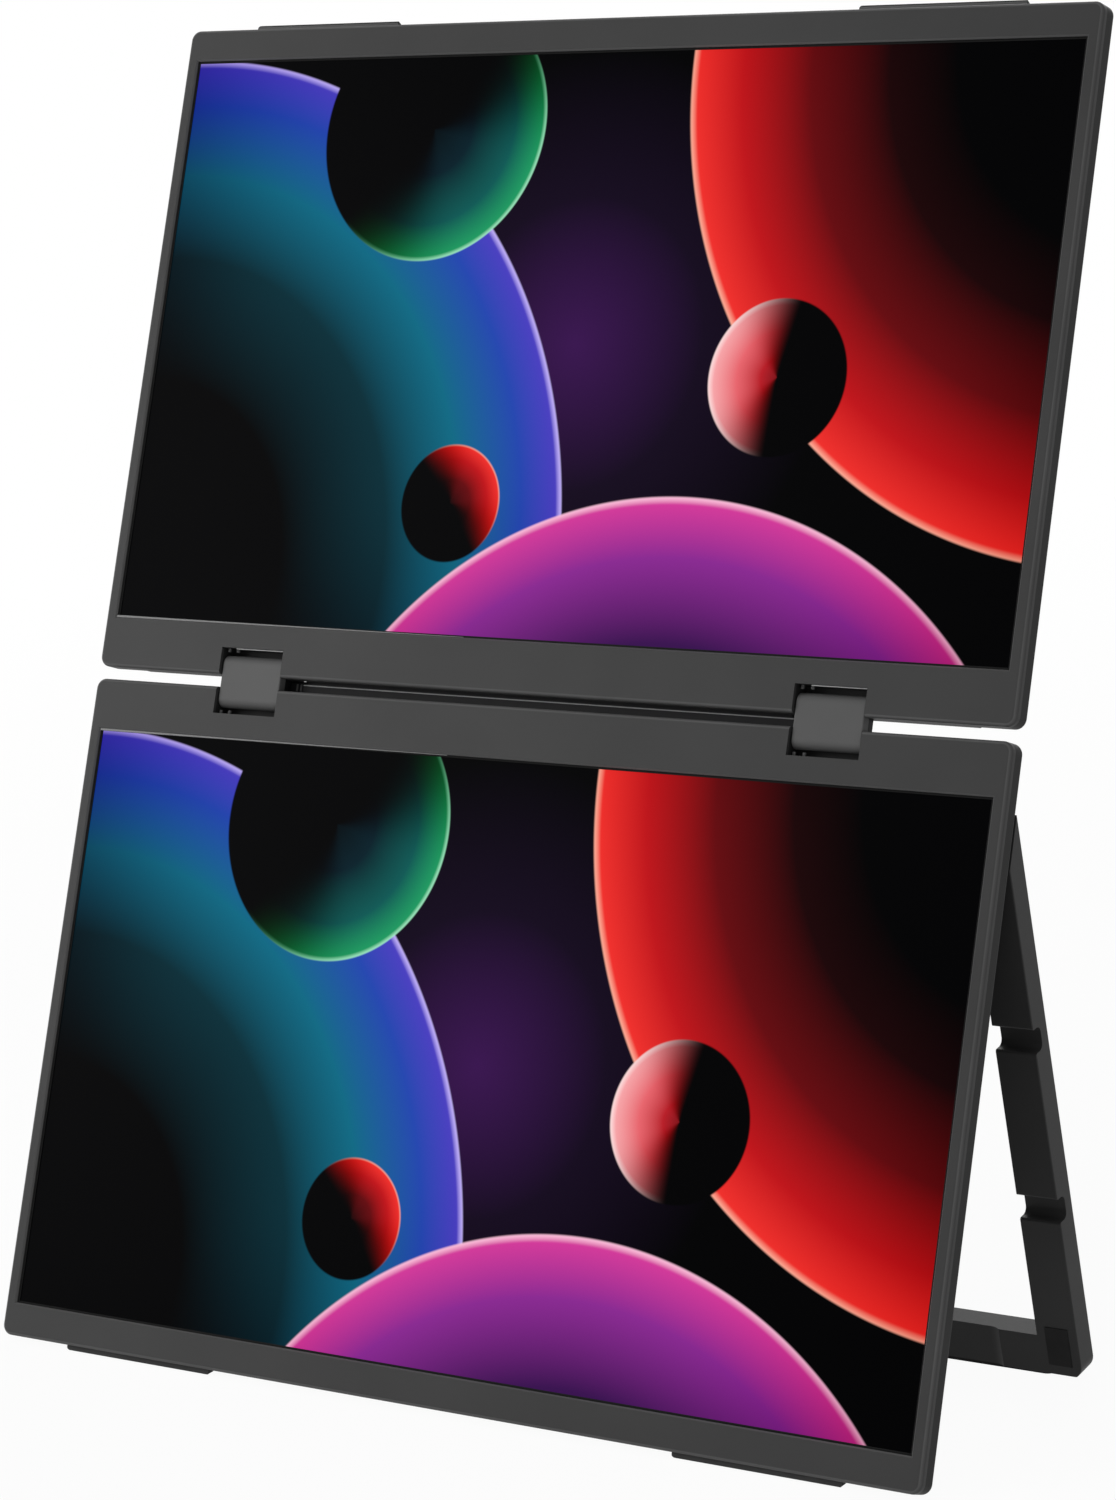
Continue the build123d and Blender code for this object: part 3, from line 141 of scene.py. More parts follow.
@dataclass(frozen=True)
class LeanFrame:
    """Frame in which a panel is drawn: x to the right, y to the rear, z up along the panel, in metres."""

    origin: Vector
    right: Vector
    rear: Vector
    up: Vector

    @classmethod
    def of_displays(cls) -> "LeanFrame":
        """Work the frame out from the two fold axes and the front of the lower bezel.

        Returns:
            A frame with its origin on the bezels' front plane, half way between the displays.
        """
        axes = {j["name"]: Vector(j["pos_m"]) for j in frame["joints"] if "pos_m" in j}
        low, high = axes["link_fold"], axes["upper_fold"]
        middle = (low + high) / 2
        up = (high - low).normalized()
        right = Vector((1, 0, 0))
        rear = up.cross(right)
        bezel = frame["nodes"]["lower_bezel"].data.vertices
        front = min((v.co - middle).dot(rear) for v in bezel)
        return cls(middle + rear * front, right, rear, up)

    def matrix(self) -> Matrix:
        """Return the matrix that places a piece drawn in this frame."""
        turn = Matrix((self.right, self.rear, self.up)).transposed().to_4x4()
        return Matrix.Translation(self.origin) @ turn

    def at(self, spot: Triple | Vector, turn: Turn = Turn.UP) -> Matrix:
        """Return the matrix that places a piece, turned, at a spot of this frame."""
        return self.matrix() @ Matrix.Translation(spot) @ Matrix(turn.value).to_4x4()

    def box(self, node: str) -> tuple[Vector, Vector]:
        """Measure a CAD node along this frame's axes.

        Args:
            node: the node's name.

        Returns:
            Its lowest and highest corner in this frame.
        """
        back = self.matrix().inverted()
        points = [back @ v.co for v in frame["nodes"][node].data.vertices]
        low = Vector([min(p[i] for p in points) for i in range(3)])
        high = Vector([max(p[i] for p in points) for i in range(3)])
        return low, high

    def spot(self, node: str, x: int = 0, y: int = 0, z: int = 0) -> Vector:
        """Return a point of a CAD node's box, each way from -1 at its low side to 1 at its high side."""
        low, high = self.box(node)
        return (low + high) / 2 + (high - low) / 2 * Vector((x, y, z))


DISPLAYS = LeanFrame.of_displays()


# Finishes


class Finish(ABC):
    """A real material and the way its surface was made."""

    name: str

    def material(self) -> bpy.types.Material:
        """Return the finish as a node material, made once."""
        return bpy.data.materials.get(self.name) or self._make()

    def _make(self) -> bpy.types.Material:
        """Build the node tree on Object coordinates.

        Returns:
            The new material.
        """
        material = bpy.data.materials.new(self.name)
        material.use_nodes = True
        material.node_tree.nodes.clear()
        add = partial(add_node, material.node_tree)
        place = add("TexCoord").outputs["Object"]
        add("OutputMaterial", links={"Surface": self.shade(add, place)})
        return material

    @abstractmethod
    def shade(self, add: Adder, place: Socket) -> Node:
        """Add the finish's nodes.

        Args:
            add: adds a node to the material.
            place: Object coordinates, in metres.

        Returns:
            The shader node.
        """


@dataclass(frozen=True)
class MouldedPlastic(Finish):
    """Injection-moulded ABS with a spark-eroded grain.

    The eye sees an even, slightly cloudy colour and a soft, broken highlight, and on a display's front also a
    painted highlight that makes the rounded edges paler. Real grain is about 0.1 mm; it is drawn coarser so that
    it shows.
    """

    name: str
    dark: str
    light: str
    grain_mm: float = 0.45
    cloud_mm: float = 55.0
    tint_span: Pair = (0.3, 0.7)
    roughness: Pair = (0.42, 0.56)
    relief_mm: float = 0.012
    relief_share: float = 0.5
    ior: float = 1.53
    specular: float = 0.14
    # how much paler the painted edge highlight makes the colour
    edge_highlight_gain: float = 1.0
    # painted highlight, by how far a face turns from a display's front
    edge_highlight: Stops = ((0.1, "#000000"), (0.55, "#bcbcbc"), (0.93, "#ffffff"), (0.995, "#000000"))

    def shade(self, add: Adder, place: Socket) -> Node:
        """Add cloud, grain and relief; see Finish.shade."""
        cloud = add("TexNoise", {"Scale": 1 / (self.cloud_mm * MM), "Detail": 3.0}, {"Vector": place})
        stops = tuple(zip(self.tint_span, (self.dark, self.light)))
        colour = add("ValToRGB", {"stops": stops}, {"Fac": cloud})
        # paint a highlight on the rounded edges
        if self.edge_highlight_gain > 1:
            colour = self._paint_edge_highlight(add, colour)
        grain = add("TexNoise", {"Scale": 1 / (self.grain_mm * MM), "Detail": 2.0}, {"Vector": place})
        rough = add("MapRange", {"To Min": self.roughness[0], "To Max": self.roughness[1]},
                    {"Value": grain})
        relief = add("Bump", {"Strength": self.relief_share, "Distance": self.relief_mm * MM},
                     {"Height": grain})
        return add("BsdfPrincipled", {"IOR": self.ior, "Specular IOR Level": self.specular},
                   {"Base Color": colour, "Roughness": rough, "Normal": relief})

    def _paint_edge_highlight(self, add: Adder, colour: Node) -> Node:
        """Paint a highlight into the colour on the rounded edges, where the surface turns away from a display's
        front.

        Args:
            add: adds a node to the material.
            colour: gives the colour of the flat faces.

        Returns:
            The node that gives the colour with its painted edge highlight.
        """
        normal = add("TexCoord").outputs["Normal"]
        facing = add("VectorMath", {"operation": "DOT_PRODUCT", 1: -DISPLAYS.rear}, {0: normal})
        edge_highlight = add("ValToRGB", {"stops": self.edge_highlight}, {"Fac": facing.outputs["Value"]})
        highlight_gain = add("MapRange", {"To Min": 1.0, "To Max": self.edge_highlight_gain}, {"Value": edge_highlight})
        return add("VectorMath", {"operation": "SCALE"}, {0: colour, "Scale": highlight_gain})


@dataclass(frozen=True)
class MouldedRubber(Finish):
    """Moulded silicone rubber: deep, dusty black with fine pores and almost no highlight."""

    name: str
    dark: str
    light: str
    pore_mm: float = 0.8
    dust_mm: float = 8.0
    tint_span: Pair = (0.35, 0.75)
    relief_mm: float = 0.03
    relief_share: float = 0.4
    roughness: float = 0.82
    ior: float = 1.41
    specular: float = 0.25

    def shade(self, add: Adder, place: Socket) -> Node:
        """Add pores and a dusty tint; see Finish.shade."""
        pores = add("TexVoronoi", {"Scale": 1 / (self.pore_mm * MM)}, {"Vector": place})
        dust = add("TexNoise", {"Scale": 1 / (self.dust_mm * MM), "Detail": 4.0}, {"Vector": place})
        stops = tuple(zip(self.tint_span, (self.dark, self.light)))
        tint = add("ValToRGB", {"stops": stops}, {"Fac": dust})
        relief = add("Bump", {"Strength": self.relief_share, "Distance": self.relief_mm * MM},
                     {"Height": pores})
        return add("BsdfPrincipled",
                   {"Roughness": self.roughness, "IOR": self.ior, "Specular IOR Level": self.specular},
                   {"Base Color": tint, "Normal": relief})


@dataclass(frozen=True)
class WorkedMetal(Finish):
    """Ground, rolled or drawn metal: fine lines along one axis that stretch its highlights."""

    name: str
    dark: str
    light: str
    line_mm: Triple = (30.0, 0.3, 0.3)
    tint_span: Pair = (0.3, 0.7)
    roughness: Pair = (0.25, 0.42)
    relief_mm: float = 0.004
    relief_share: float = 0.4

    def shade(self, add: Adder, place: Socket) -> Node:
        """Add tool lines to colour, roughness and relief; see Finish.shade."""
        scale = [1 / (length * MM) for length in self.line_mm]
        along = add("Mapping", {"Scale": scale}, {"Vector": place})
        lines = add("TexNoise", {"Scale": 1.0, "Detail": 3.0}, {"Vector": along})
        stops = tuple(zip(self.tint_span, (self.dark, self.light)))
        tint = add("ValToRGB", {"stops": stops}, {"Fac": lines})
        rough = add("MapRange", {"To Min": self.roughness[0], "To Max": self.roughness[1]},
                    {"Value": lines})
        relief = add("Bump", {"Strength": self.relief_share, "Distance": self.relief_mm * MM},
                     {"Height": lines})
        return add("BsdfPrincipled", {"Metallic": 1.0},
                   {"Base Color": tint, "Roughness": rough, "Normal": relief})


@dataclass(frozen=True)
class SolderMask(Finish):
    """Circuit board under a glossy solder mask, through which copper tracks show as paler lines."""

    name: str = "solder_masked_board"
    mask: str = "#16402a"
    track: str = "#2f6b45"
    repeat_mm: float = 19.2
    track_share: float = 0.03
    track_soft: float = 0.2
    relief_mm: float = 0.03
    relief_share: float = 0.3
    roughness: float = 0.3
    coat: float = 0.4

    def shade(self, add: Adder, place: Socket) -> Node:
        """Add the tracks; see Finish.shade."""
        tracks = add("TexBrick",
                     {"Scale": 1 / (self.repeat_mm * MM), "Mortar Size": self.track_share,
                      "Mortar Smooth": self.track_soft, "Color1": linear(self.mask),
                      "Color2": linear(self.mask), "Mortar": linear(self.track)}, {"Vector": place})
        relief = add("Bump", {"Strength": self.relief_share, "Distance": self.relief_mm * MM},
                     {"Height": tracks.outputs["Fac"]})
        return add("BsdfPrincipled", {"Roughness": self.roughness, "Coat Weight": self.coat},
                   {"Base Color": tracks, "Normal": relief})


@dataclass(frozen=True)
class DottedAcrylic(Finish):
    """Cast acrylic light guide: near-white, glossy, with a grid of printed scatter dots."""

    name: str = "dotted_acrylic"
    sheet: str = "#dfe5ea"
    dot: str = "#f8fafc"
    pitch_mm: float = 1.6
    dot_edge: Pair = (0.22, 0.3)
    roughness: float = 0.12
    ior: float = 1.49

    def shade(self, add: Adder, place: Socket) -> Node:
        """Add the dots; see Finish.shade."""
        dots = add("TexVoronoi", {"Scale": 1 / (self.pitch_mm * MM), "Randomness": 0.0}, {"Vector": place})
        stops = tuple(zip(self.dot_edge, (self.dot, self.sheet)))
        tint = add("ValToRGB", {"stops": stops}, {"Fac": dots})
        return add("BsdfPrincipled", {"Roughness": self.roughness, "IOR": self.ior}, {"Base Color": tint})


@dataclass(frozen=True)
class Disc:
    """One disc of light in the picture on the screens.

    Lengths are in half heights of the picture. The colours run in from the rim over the depth, and the disc
    is brightest on the side that bright_deg points at, counted from the right.
    """

    middle: Pair
    radius: float
    depth: float
    bright_deg: float
    edge: float
    stops: Stops


class Glow(Enum):
    """Colours of the discs, from the rim inwards."""

    BLUE = ((0.0, "#c9b8ff"), (0.02, "#4a3fc0"), (0.14, "#2447b0"), (0.36, "#0d6a84"), (0.62, "#06303a"),
            (1.0, "#000000"))
    RED = ((0.0, "#ffb09a"), (0.025, "#f0302c"), (0.2, "#c0141a"), (0.46, "#66090e"), (0.75, "#1c0304"),
           (1.0, "#000000"))
    VIOLET = ((0.0, "#ffc4de"), (0.025, "#d23a9a"), (0.2, "#8a2a92"), (0.48, "#3a1250"), (0.8, "#0a0312"),
              (1.0, "#000000"))
    GREEN = ((0.0, "#a8f0c8"), (0.03, "#1f9a62"), (0.25, "#0d5a56"), (0.6, "#06222c"), (1.0, "#000000"))
    ROSE = ((0.0, "#ffe0e0"), (0.06, "#f7a4a8"), (0.3, "#e8666e"), (0.55, "#b81e28"), (0.82, "#3a0609"),
            (1.0, "#000000"))


@dataclass(frozen=True)
class LitScreen(Finish):
    """Lit liquid crystal panel under an anti-glare film: the picture glows, black stays black.

    The picture is a plain study of overlapping discs of light in red, rose, violet, blue and green.
    """

    name: str
    centre: Vector
    half_w: float
    half_h: float
    border_mm: float = 0.7
    haze: Stops = ((0.0, "#3a1450"), (0.5, "#14081e"), (1.0, "#000000"))
    discs: tuple[Disc, ...] = (
        Disc((-1.75, -0.8), 1.8, 1.15, 38.0, 0.005, Glow.BLUE.value),
        Disc((2.0, 1.0), 1.68, 1.0, 214.0, 0.005, Glow.RED.value),
        Disc((0.5, -2.0), 1.5, 1.0, 98.0, 0.005, Glow.VIOLET.value),
        Disc((-0.7, 0.74), 0.46, 0.5, -42.0, 0.004, Glow.GREEN.value),
        Disc((0.8, -0.1), 0.26, 0.36, 172.0, 0.004, Glow.ROSE.value),
        Disc((-0.42, -0.55), 0.2, 0.26, 40.0, 0.004, Glow.RED.value),
    )
    bright_turn: Pair = (-0.1, 0.97)
    dim_gamma: float = 2.0
    film: str = "#020203"
    roughness: float = 0.35
    specular: float = 0.01

    def shade(self, add: Adder, place: Socket) -> Node:
        """Add the discs one over the other; see Finish.shade."""
        spot = add("Mapping",
                   {"vector_type": "TEXTURE", "Location": self.centre,
                    "Rotation": DISPLAYS.matrix().to_euler(), "Scale": (self.half_h, 1.0, self.half_h)},
                   {"Vector": place})
        reach = add("VectorMath", {"operation": "LENGTH"}, {0: spot})
        haze = add("ValToRGB", {"stops": self.haze}, {"Fac": reach.outputs["Value"]})
        colour = haze.outputs["Color"]
        for disc in self.discs:
            colour = self._lay(add, disc, spot, colour)
        return add("BsdfPrincipled",
                   {"Base Color": linear(self.film), "Roughness": self.roughness,
                    "Specular IOR Level": self.specular, "Emission Strength": 1.0},
                   {"Emission Color": self._mask(add, spot, colour)})

    def _lay(self, add: Adder, disc: Disc, spot: Node, under: Socket) -> Socket:
        """Lay one disc over the colours under it.

        Args:
            add: adds a node to the material.
            disc: its place, size and colours.
            spot: gives places on the picture, in its half heights.
            under: the colours so far.

        Returns:
            The colours with this disc on top.
        """
        away = add("VectorMath",
                   {"operation": "SUBTRACT", 1: (disc.middle[0], 0.0, disc.middle[1])}, {0: spot})
        reach = add("VectorMath", {"operation": "LENGTH"}, {0: away})
        inwards = add("Math", {"operation": "SUBTRACT", 0: disc.radius}, {1: reach.outputs["Value"]})
        share = add("MapRange", {"From Max": disc.depth}, {"Value": inwards})
        shade = add("ValToRGB", {"stops": disc.stops}, {"Fac": share})
        side = add("VectorMath", {"operation": "NORMALIZE"}, {0: away})
        bright = math.radians(disc.bright_deg)
        turn = add("VectorMath",
                   {"operation": "DOT_PRODUCT", 1: (math.cos(bright), 0.0, math.sin(bright))}, {0: side})
        lamp = add("MapRange",
                   {"interpolation_type": "SMOOTHSTEP", "From Min": self.bright_turn[0],
                    "From Max": self.bright_turn[1]}, {"Value": turn.outputs["Value"]})
        depth = add("MapRange", {"To Min": self.dim_gamma, "To Max": 1.0}, {"Value": lamp})
        deep = add("Gamma", links={"Color": shade, "Gamma": depth})
        lit = add("VectorMath", {"operation": "SCALE"}, {0: deep, "Scale": lamp})
        cover = add("MapRange",
                    {"interpolation_type": "SMOOTHSTEP", "From Min": -disc.edge, "From Max": disc.edge},
                    {"Value": inwards})
        mixed = add("Mix", {"data_type": "RGBA"}, {0: cover, 6: under, 7: lit})
        return mixed.outputs[2]

    def _mask(self, add: Adder, spot: Node, colour: Socket) -> Socket:
        """Keep the black border of the panel dark.

        Args:
            add: adds a node to the material.
            spot: gives places on the picture, in its half heights.
            colour: the picture.

        Returns:
            The picture inside the border.
        """
        size = add("VectorMath", {"operation": "ABSOLUTE"}, {0: spot})
        parts = add("SeparateXYZ", links={0: size})
        inside = []
        for axis, half in (("X", self.half_w), ("Z", self.half_h)):
            limit = (half - self.border_mm * MM) / self.half_h
            inside.append(add("Math", {"operation": "LESS_THAN", 1: limit}, {0: parts.outputs[axis]}))
        both = add("Math", {"operation": "MULTIPLY"}, {0: inside[0], 1: inside[1]})
        lit = add("Mix", {"data_type": "RGBA", 6: linear("#000000")}, {0: both, 7: colour})
        return lit.outputs[2]


@dataclass(frozen=True)
class StudioPaper(Finish):
    """Matt paper that shows plain white, apart from a faint shadow near the object."""

    name: str = "white_studio_floor"
    paper: str = "#ededed"
    white: str = "#ffffff"
    shadow_reach: Pair = (0.5, 1.3)
    shadow_share: float = 0.05

    def shade(self, add: Adder, place: Socket) -> Node:
        """Mix white over the paper, less so near the object; see Finish.shade."""
        paper = add("BsdfDiffuse", {"Color": linear(self.paper)})
        glow = add("Emission", {"Color": linear(self.white), "Strength": 1.0})
        reach = add("VectorMath", {"operation": "LENGTH"}, {0: place})
        far = add("MapRange",
                  {"From Min": self.shadow_reach[0], "From Max": self.shadow_reach[1],
                   "To Min": 1 - self.shadow_share, "To Max": 1.0}, {"Value": reach.outputs["Value"]})
        share = add("Math", {"operation": "MULTIPLY"}, {0: looked_at(add), 1: far})
        return add("MixShader", links={0: share, 1: paper, 2: glow})


class Housing(Enum):
    """Finishes that several sub-assemblies share."""

    # its rounded edges get a painted highlight
    SHELL = MouldedPlastic("moulded_abs_front", "#393939", "#3f3f3f", edge_highlight_gain=2.4)
    # the front plastic made darker: painted shade on the side walls behind the parting line
    BACK = MouldedPlastic("moulded_abs_back", "#282828", "#2d2d2d", specular=0.07)
    LINK = MouldedPlastic("moulded_abs_link_cover", "#585858", "#606060")
    # pale as a painted highlight on edges in the shadowed hinge gaps
    LIP = MouldedPlastic("abs_lip_painted_highlight", "#b4b4b4", "#bebebe")
    # pale as a painted glint on the window edge
    BEAD = MouldedPlastic("abs_bead_painted_glint", "#868686", "#8e8e8e")
    STAND = MouldedPlastic("moulded_abs_stand", "#2f2f2f", "#353535")
    SPINE = MouldedPlastic("moulded_abs_spine", "#0e0e10", "#131315", roughness=(0.5, 0.62))
    BUTTON = MouldedPlastic("satin_abs_button", "#262628", "#2e2e30", roughness=(0.3, 0.4))
    SPEAKER = MouldedPlastic("paper_cone_speaker", "#121214", "#1a1a1c", roughness=(0.7, 0.85))
    RUBBER = MouldedRubber("moulded_silicone_rubber", "#222222", "#2b2b2b")
    FOOT = MouldedRubber("moulded_rubber_foot", "#3a3a3a", "#424242")
    SEAL = MouldedRubber("closed_cell_foam_seal", "#060606", "#0c0c0c", pore_mm=0.3)
    CABLE = MouldedRubber("ribbon_cable_jacket", "#1d2026", "#282b32", pore_mm=0.5)
    STEEL = WorkedMetal("ground_steel", "#9fa1a4", "#b3b5b8")
    SCREW = WorkedMetal("blackened_steel_screw", "#1f2022", "#2c2d30", line_mm=(0.4, 0.4, 0.4),
                        roughness=(0.35, 0.5))
    TRAY = WorkedMetal("rolled_aluminium_sheet", "#c2c5c9", "#d0d3d7", line_mm=(60.0, 0.5, 0.5))
    SOCKET = WorkedMetal("drawn_nickel_plated_shell", "#b0b3b8", "#c0c3c8", roughness=(0.2, 0.3))
    GOLD = WorkedMetal("gold_flashed_contact", "#c9a13b", "#d8b24e", line_mm=(0.6, 0.1, 0.1),
                       roughness=(0.2, 0.3))
    MESH = WorkedMetal("woven_steel_dust_mesh", "#2a2b2d", "#3a3b3e", line_mm=(0.5, 0.5, 0.5),
                       roughness=(0.4, 0.55))
    MARK = MouldedPlastic("pad_printed_button_mark", "#b4b4b4", "#bcbcbc", roughness=(0.5, 0.6))
    CONE = MouldedPlastic("pressed_paper_cone", "#1c1c1e", "#26262a", grain_mm=0.3, roughness=(0.75, 0.9))
    BRONZE = WorkedMetal("sintered_bronze", "#a5834f", "#b8965f", line_mm=(0.5, 0.5, 0.5),
                         roughness=(0.4, 0.55))
    BOARD = SolderMask()
    GUIDE = DottedAcrylic()


def dress(finish: Finish, *nodes: str) -> None:
    """Give CAD nodes a finish through their material slots.

    Args:
        finish: what they are made of.
        nodes: their names.
    """
    for node in nodes:
        for slot in frame["nodes"][node].material_slots:
            slot.material = finish.material()
        LOG.info("node %s: %s", node, finish.name)


# Modelling by hand


class Bench:
    """Modelling steps that the pieces share."""

    SMOOTH_DEG = 35.0
    END_SHARE = 0.8

    @staticmethod
    def start(operator: Callable, scale: Triple | Vector = (1, 1, 1), **settings: object) -> Piece:
        """Add a primitive with nothing else selected and stay in edit mode.

        Args:
            operator: Blender's operator for the primitive.
            scale: how the primitive is stretched.
            settings: the operator's settings, in metres.

        Returns:
            The new object, active and selected all over.
        """
        bpy.ops.object.select_all(action="DESELECT")
        operator(**settings)
        bpy.ops.object.mode_set(mode="EDIT")
        bpy.ops.transform.resize(value=scale)
        return bpy.context.active_object

    @staticmethod
    def block(size: Triple | Vector) -> Piece:
        """Start a block of a length, depth and height."""
        return Bench.start(bpy.ops.mesh.primitive_cube_add, size, size=1.0)

    @staticmethod
    def bar(size: Triple, soft: float) -> Piece:
        """Model a moulded bar with softened edges and slightly drawn-in ends.

        Args:
            size: its length, depth and height.
            soft: the width of its softened edges.

        Returns:
            The bar, round its own origin.
        """
        bar = Bench.block(size)
        Bench.pick(bar, lambda face: abs(face.normal.x) > FACING)
        bpy.ops.transform.resize(value=(1.0, Bench.END_SHARE, Bench.END_SHARE))
        Bench.apply(bar, "BEVEL", width=soft, segments=3)
        return bar

    @staticmethod
    def pick(piece: Piece, test: Callable[[bpy.types.MeshPolygon], bool]) -> None:
        """Enter edit mode with only the faces selected that pass a test.

        Args:
            piece: the object being modelled.
            test: tells whether a face is wanted, by its place or normal.
        """
        bpy.ops.object.mode_set(mode="EDIT")
        bpy.ops.mesh.select_mode(type="FACE")
        bpy.ops.mesh.select_all(action="DESELECT")
        bpy.ops.object.mode_set(mode="OBJECT")
        for face in piece.data.polygons:
            face.select = test(face)
        bpy.ops.object.mode_set(mode="EDIT")

    @staticmethod
    def apply(piece: Piece, kind: str, **settings: object) -> None:
        """Add a modifier and apply it at once.

        Args:
            piece: the object being modelled.
            kind: the modifier's type.
            settings: the modifier's settings.
        """
        bpy.ops.object.mode_set(mode="OBJECT")
        modifier = piece.modifiers.new(kind.lower(), kind)
        for key, value in settings.items():
            setattr(modifier, key, value)
        bpy.ops.object.modifier_apply(modifier=modifier.name)

    @staticmethod
    def hand_over(piece: Piece, places: dict[str, tuple[str, Matrix]], slot: str,
                  finish: Housing) -> list[Piece]:
        """Put a shaped piece, copied where it repeats, in its places, dress it and let it ride.

        Args:
            piece: the shaped object, drawn round its own origin.
            places: the CAD body that carries each copy and where its origin goes, by the copy's name.
            slot: the record's material slot; not used.
            finish: what the piece is made of.

        Returns:
            The pieces, in the order of their places.
        """
        bpy.ops.object.mode_set(mode="OBJECT")
        pieces = [piece]
        while len(pieces) < len(places):
            twin = piece.copy()
            twin.data = piece.data.copy()
            bpy.context.scene.collection.objects.link(twin)
            pieces.append(twin)
        for one, (name, (body, place)) in zip(pieces, places.items()):
            bpy.ops.object.select_all(action="DESELECT")
            one.select_set(True)
            bpy.context.view_layer.objects.active = one
            one.name = one.data.name = name
            one.matrix_world = place
            bpy.ops.object.transform_apply(location=True, rotation=True, scale=True)
            bpy.ops.object.shade_smooth_by_angle(angle=math.radians(Bench.SMOOTH_DEG))
            one.data.materials.clear()
            one.data.materials.append(finish.value.material())
            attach(one, body)
            LOG.info("piece %s on %s: %s", name, body, finish.value.name)
        return pieces


# Sub-assemblies


class Level(Enum):
    """The two displays, each with the way up or down to the edge that has its feet."""

    LOWER = -1
    UPPER = 1

    @property
    def label(self) -> str:
        """Return the word that starts the names of this display's nodes."""
        return self.name.lower()

    @property
    def body(self) -> str:
        """Return the CAD body that carries this display's pieces."""
        return f"{self.label}_display"


@dataclass
class Display:
    """One display: bezel, rear cover, lit panel and what lies behind it."""

    level: Level
    aperture_lap_mm: float = 1.0
    seal_mm: Pair = (0.7, 0.3)  # width, thickness
    seal_soft: float = 0.4
    foot_soft_mm: float = 1.6
    foot_plug_mm: float = 1.6
    foot_sole_facing: float = 0.7
    foot_seat_mm: tuple[float, ...] = (0.3, 0.8, 2.6, 0.2)  # end gap, depth, height, soft edge
    # the bead is a painted glint on the window edge that fades as it thins
    bead_mm: Triple = (0.5, 0.7, 0.65)  # depth, height, way ahead of the panel
    bead_soft_mm: float = 0.1
    bead_reach: float = 0.42
    bead_taper: float = 0.3
    finishes: dict[Housing, str] = field(default_factory=lambda: {
        Housing.SHELL: "bezel", Housing.BACK: "rear_cover", Housing.GUIDE: "light_guide",
        Housing.TRAY: "backlight_tray", Housing.BOARD: "driver_board", Housing.FOOT: "foot_left foot_right",
        Housing.STEEL: "hinge_brackets hinge_shafts shaft_nuts", Housing.SCREW: "hinge_screws case_screws"})

    def build(self) -> None:
        """Dress the nodes, light the screen and model what frames it and what it stands on."""
        label = self.level.label
        for finish, parts in self.finishes.items():
            dress(finish.value, *(f"{label}_{part}" for part in parts.split()))
        low, high = DISPLAYS.box(f"{label}_lcd_cell")
        lap = self.aperture_lap_mm * MM
        screen = LitScreen(f"lit_screen_{label}", DISPLAYS.matrix() @ ((low + high) / 2),
                           (high.x - low.x) / 2 - lap, (high.z - low.z) / 2 - lap)
        dress(screen, f"{label}_lcd_cell")
        front = DISPLAYS.spot(f"{label}_lcd_cell", y=-1)
        self._seal(front, screen)
        self._window_bead(front, screen)
        self._feet()
        if self.level is Level.UPPER:
            self._foot_seats()

    def _seal(self, front: Vector, screen: LitScreen) -> None:
        """Model the black foam seal between bezel and panel.

        Args:
            front: the middle of the panel's front face, in the displays' frame.
            screen: the lit area that the seal goes round.
        """
        wide, thick = (size * MM for size in self.seal_mm)
        half = (screen.half_w, screen.half_h, 1.0)
        seal = Bench.start(bpy.ops.mesh.primitive_plane_add, half, size=2.0)
        bpy.ops.mesh.inset(thickness=wide)
        bpy.ops.mesh.delete(type="FACE")
        Bench.apply(seal, "SOLIDIFY", thickness=thick, offset=1.0)
        Bench.apply(seal, "BEVEL", width=thick * self.seal_soft, segments=2)
        place = DISPLAYS.at(front, Turn.FRONT)
        Bench.hand_over(seal, {f"{self.level.label}_screen_seal": (self.level.body, place)}, "rubber",
                        Housing.SEAL)

    def _window_bead(self, front: Vector, screen: LitScreen) -> None:
        """Model the pale bead that thins out along the window edge next to the hinges, as a painted glint.

        Args:
            front: the middle of the panel's front face, in the displays' frame.
            screen: the lit area inside the window.
        """
        hingewards = -self.level.value
        deep, tall, ahead = (size * MM for size in self.bead_mm)
        length = 2 * screen.half_w * self.bead_reach
        highlight_bead = Bench.block((length, deep, tall))
        Bench.pick(highlight_bead, lambda face: face.normal.x > FACING)
        bpy.ops.transform.resize(value=(1, 1, self.bead_taper),
                                 center_override=(length / 2, 0, hingewards * tall / 2))
        Bench.apply(highlight_bead, "BEVEL", width=self.bead_soft_mm * MM, segments=2)
        place = DISPLAYS.at(front + Vector((length / 2 - screen.half_w, -ahead,
                                            hingewards * (screen.half_h - tall / 2))))
        Bench.hand_over(highlight_bead, {f"{self.level.label}_window_bead": (self.level.body, place)}, "housing",
                        Housing.BEAD)

    def _foot_nodes(self) -> list[str]:
        """Return the names of this display's CAD feet."""
        return [f"{self.level.label}_foot_{side}" for side in ("left", "right")]

    def _feet(self) -> None:
        """Mould rubber feet with round soles, plugged into the housing, in place of their CAD solids."""
        outwards, nodes = self.level.value, self._foot_nodes()
        low, high = DISPLAYS.box(nodes[0])
        plug = Vector((0, 0, self.foot_plug_mm * MM))
        size = high - low + plug
        sole_rise = size.y * DISPLAYS.up.y / DISPLAYS.up.z
        foot = Bench.block(size)
        Bench.pick(foot, lambda face: face.normal.y > FACING)
        bpy.ops.transform.resize(value=(1, 1, 1 - sole_rise / size.z),
                                 center_override=(0, size.y / 2, -outwards * size.z / 2))
        Bench.pick(foot, lambda face: face.normal.z * outwards > self.foot_sole_facing)
        bpy.ops.mesh.bevel(offset=self.foot_soft_mm * MM, segments=6, affect="EDGES")
        inwards = plug * outwards / -2
        places = {f"{node}_moulded": (self.level.body, DISPLAYS.at(DISPLAYS.spot(node) + inwards))
                  for node in nodes}
        rubber = Housing.RUBBER if self.level is Level.UPPER else Housing.FOOT
        for foot, node in zip(Bench.hand_over(foot, places, "rubber", rubber), nodes):
            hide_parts(node)

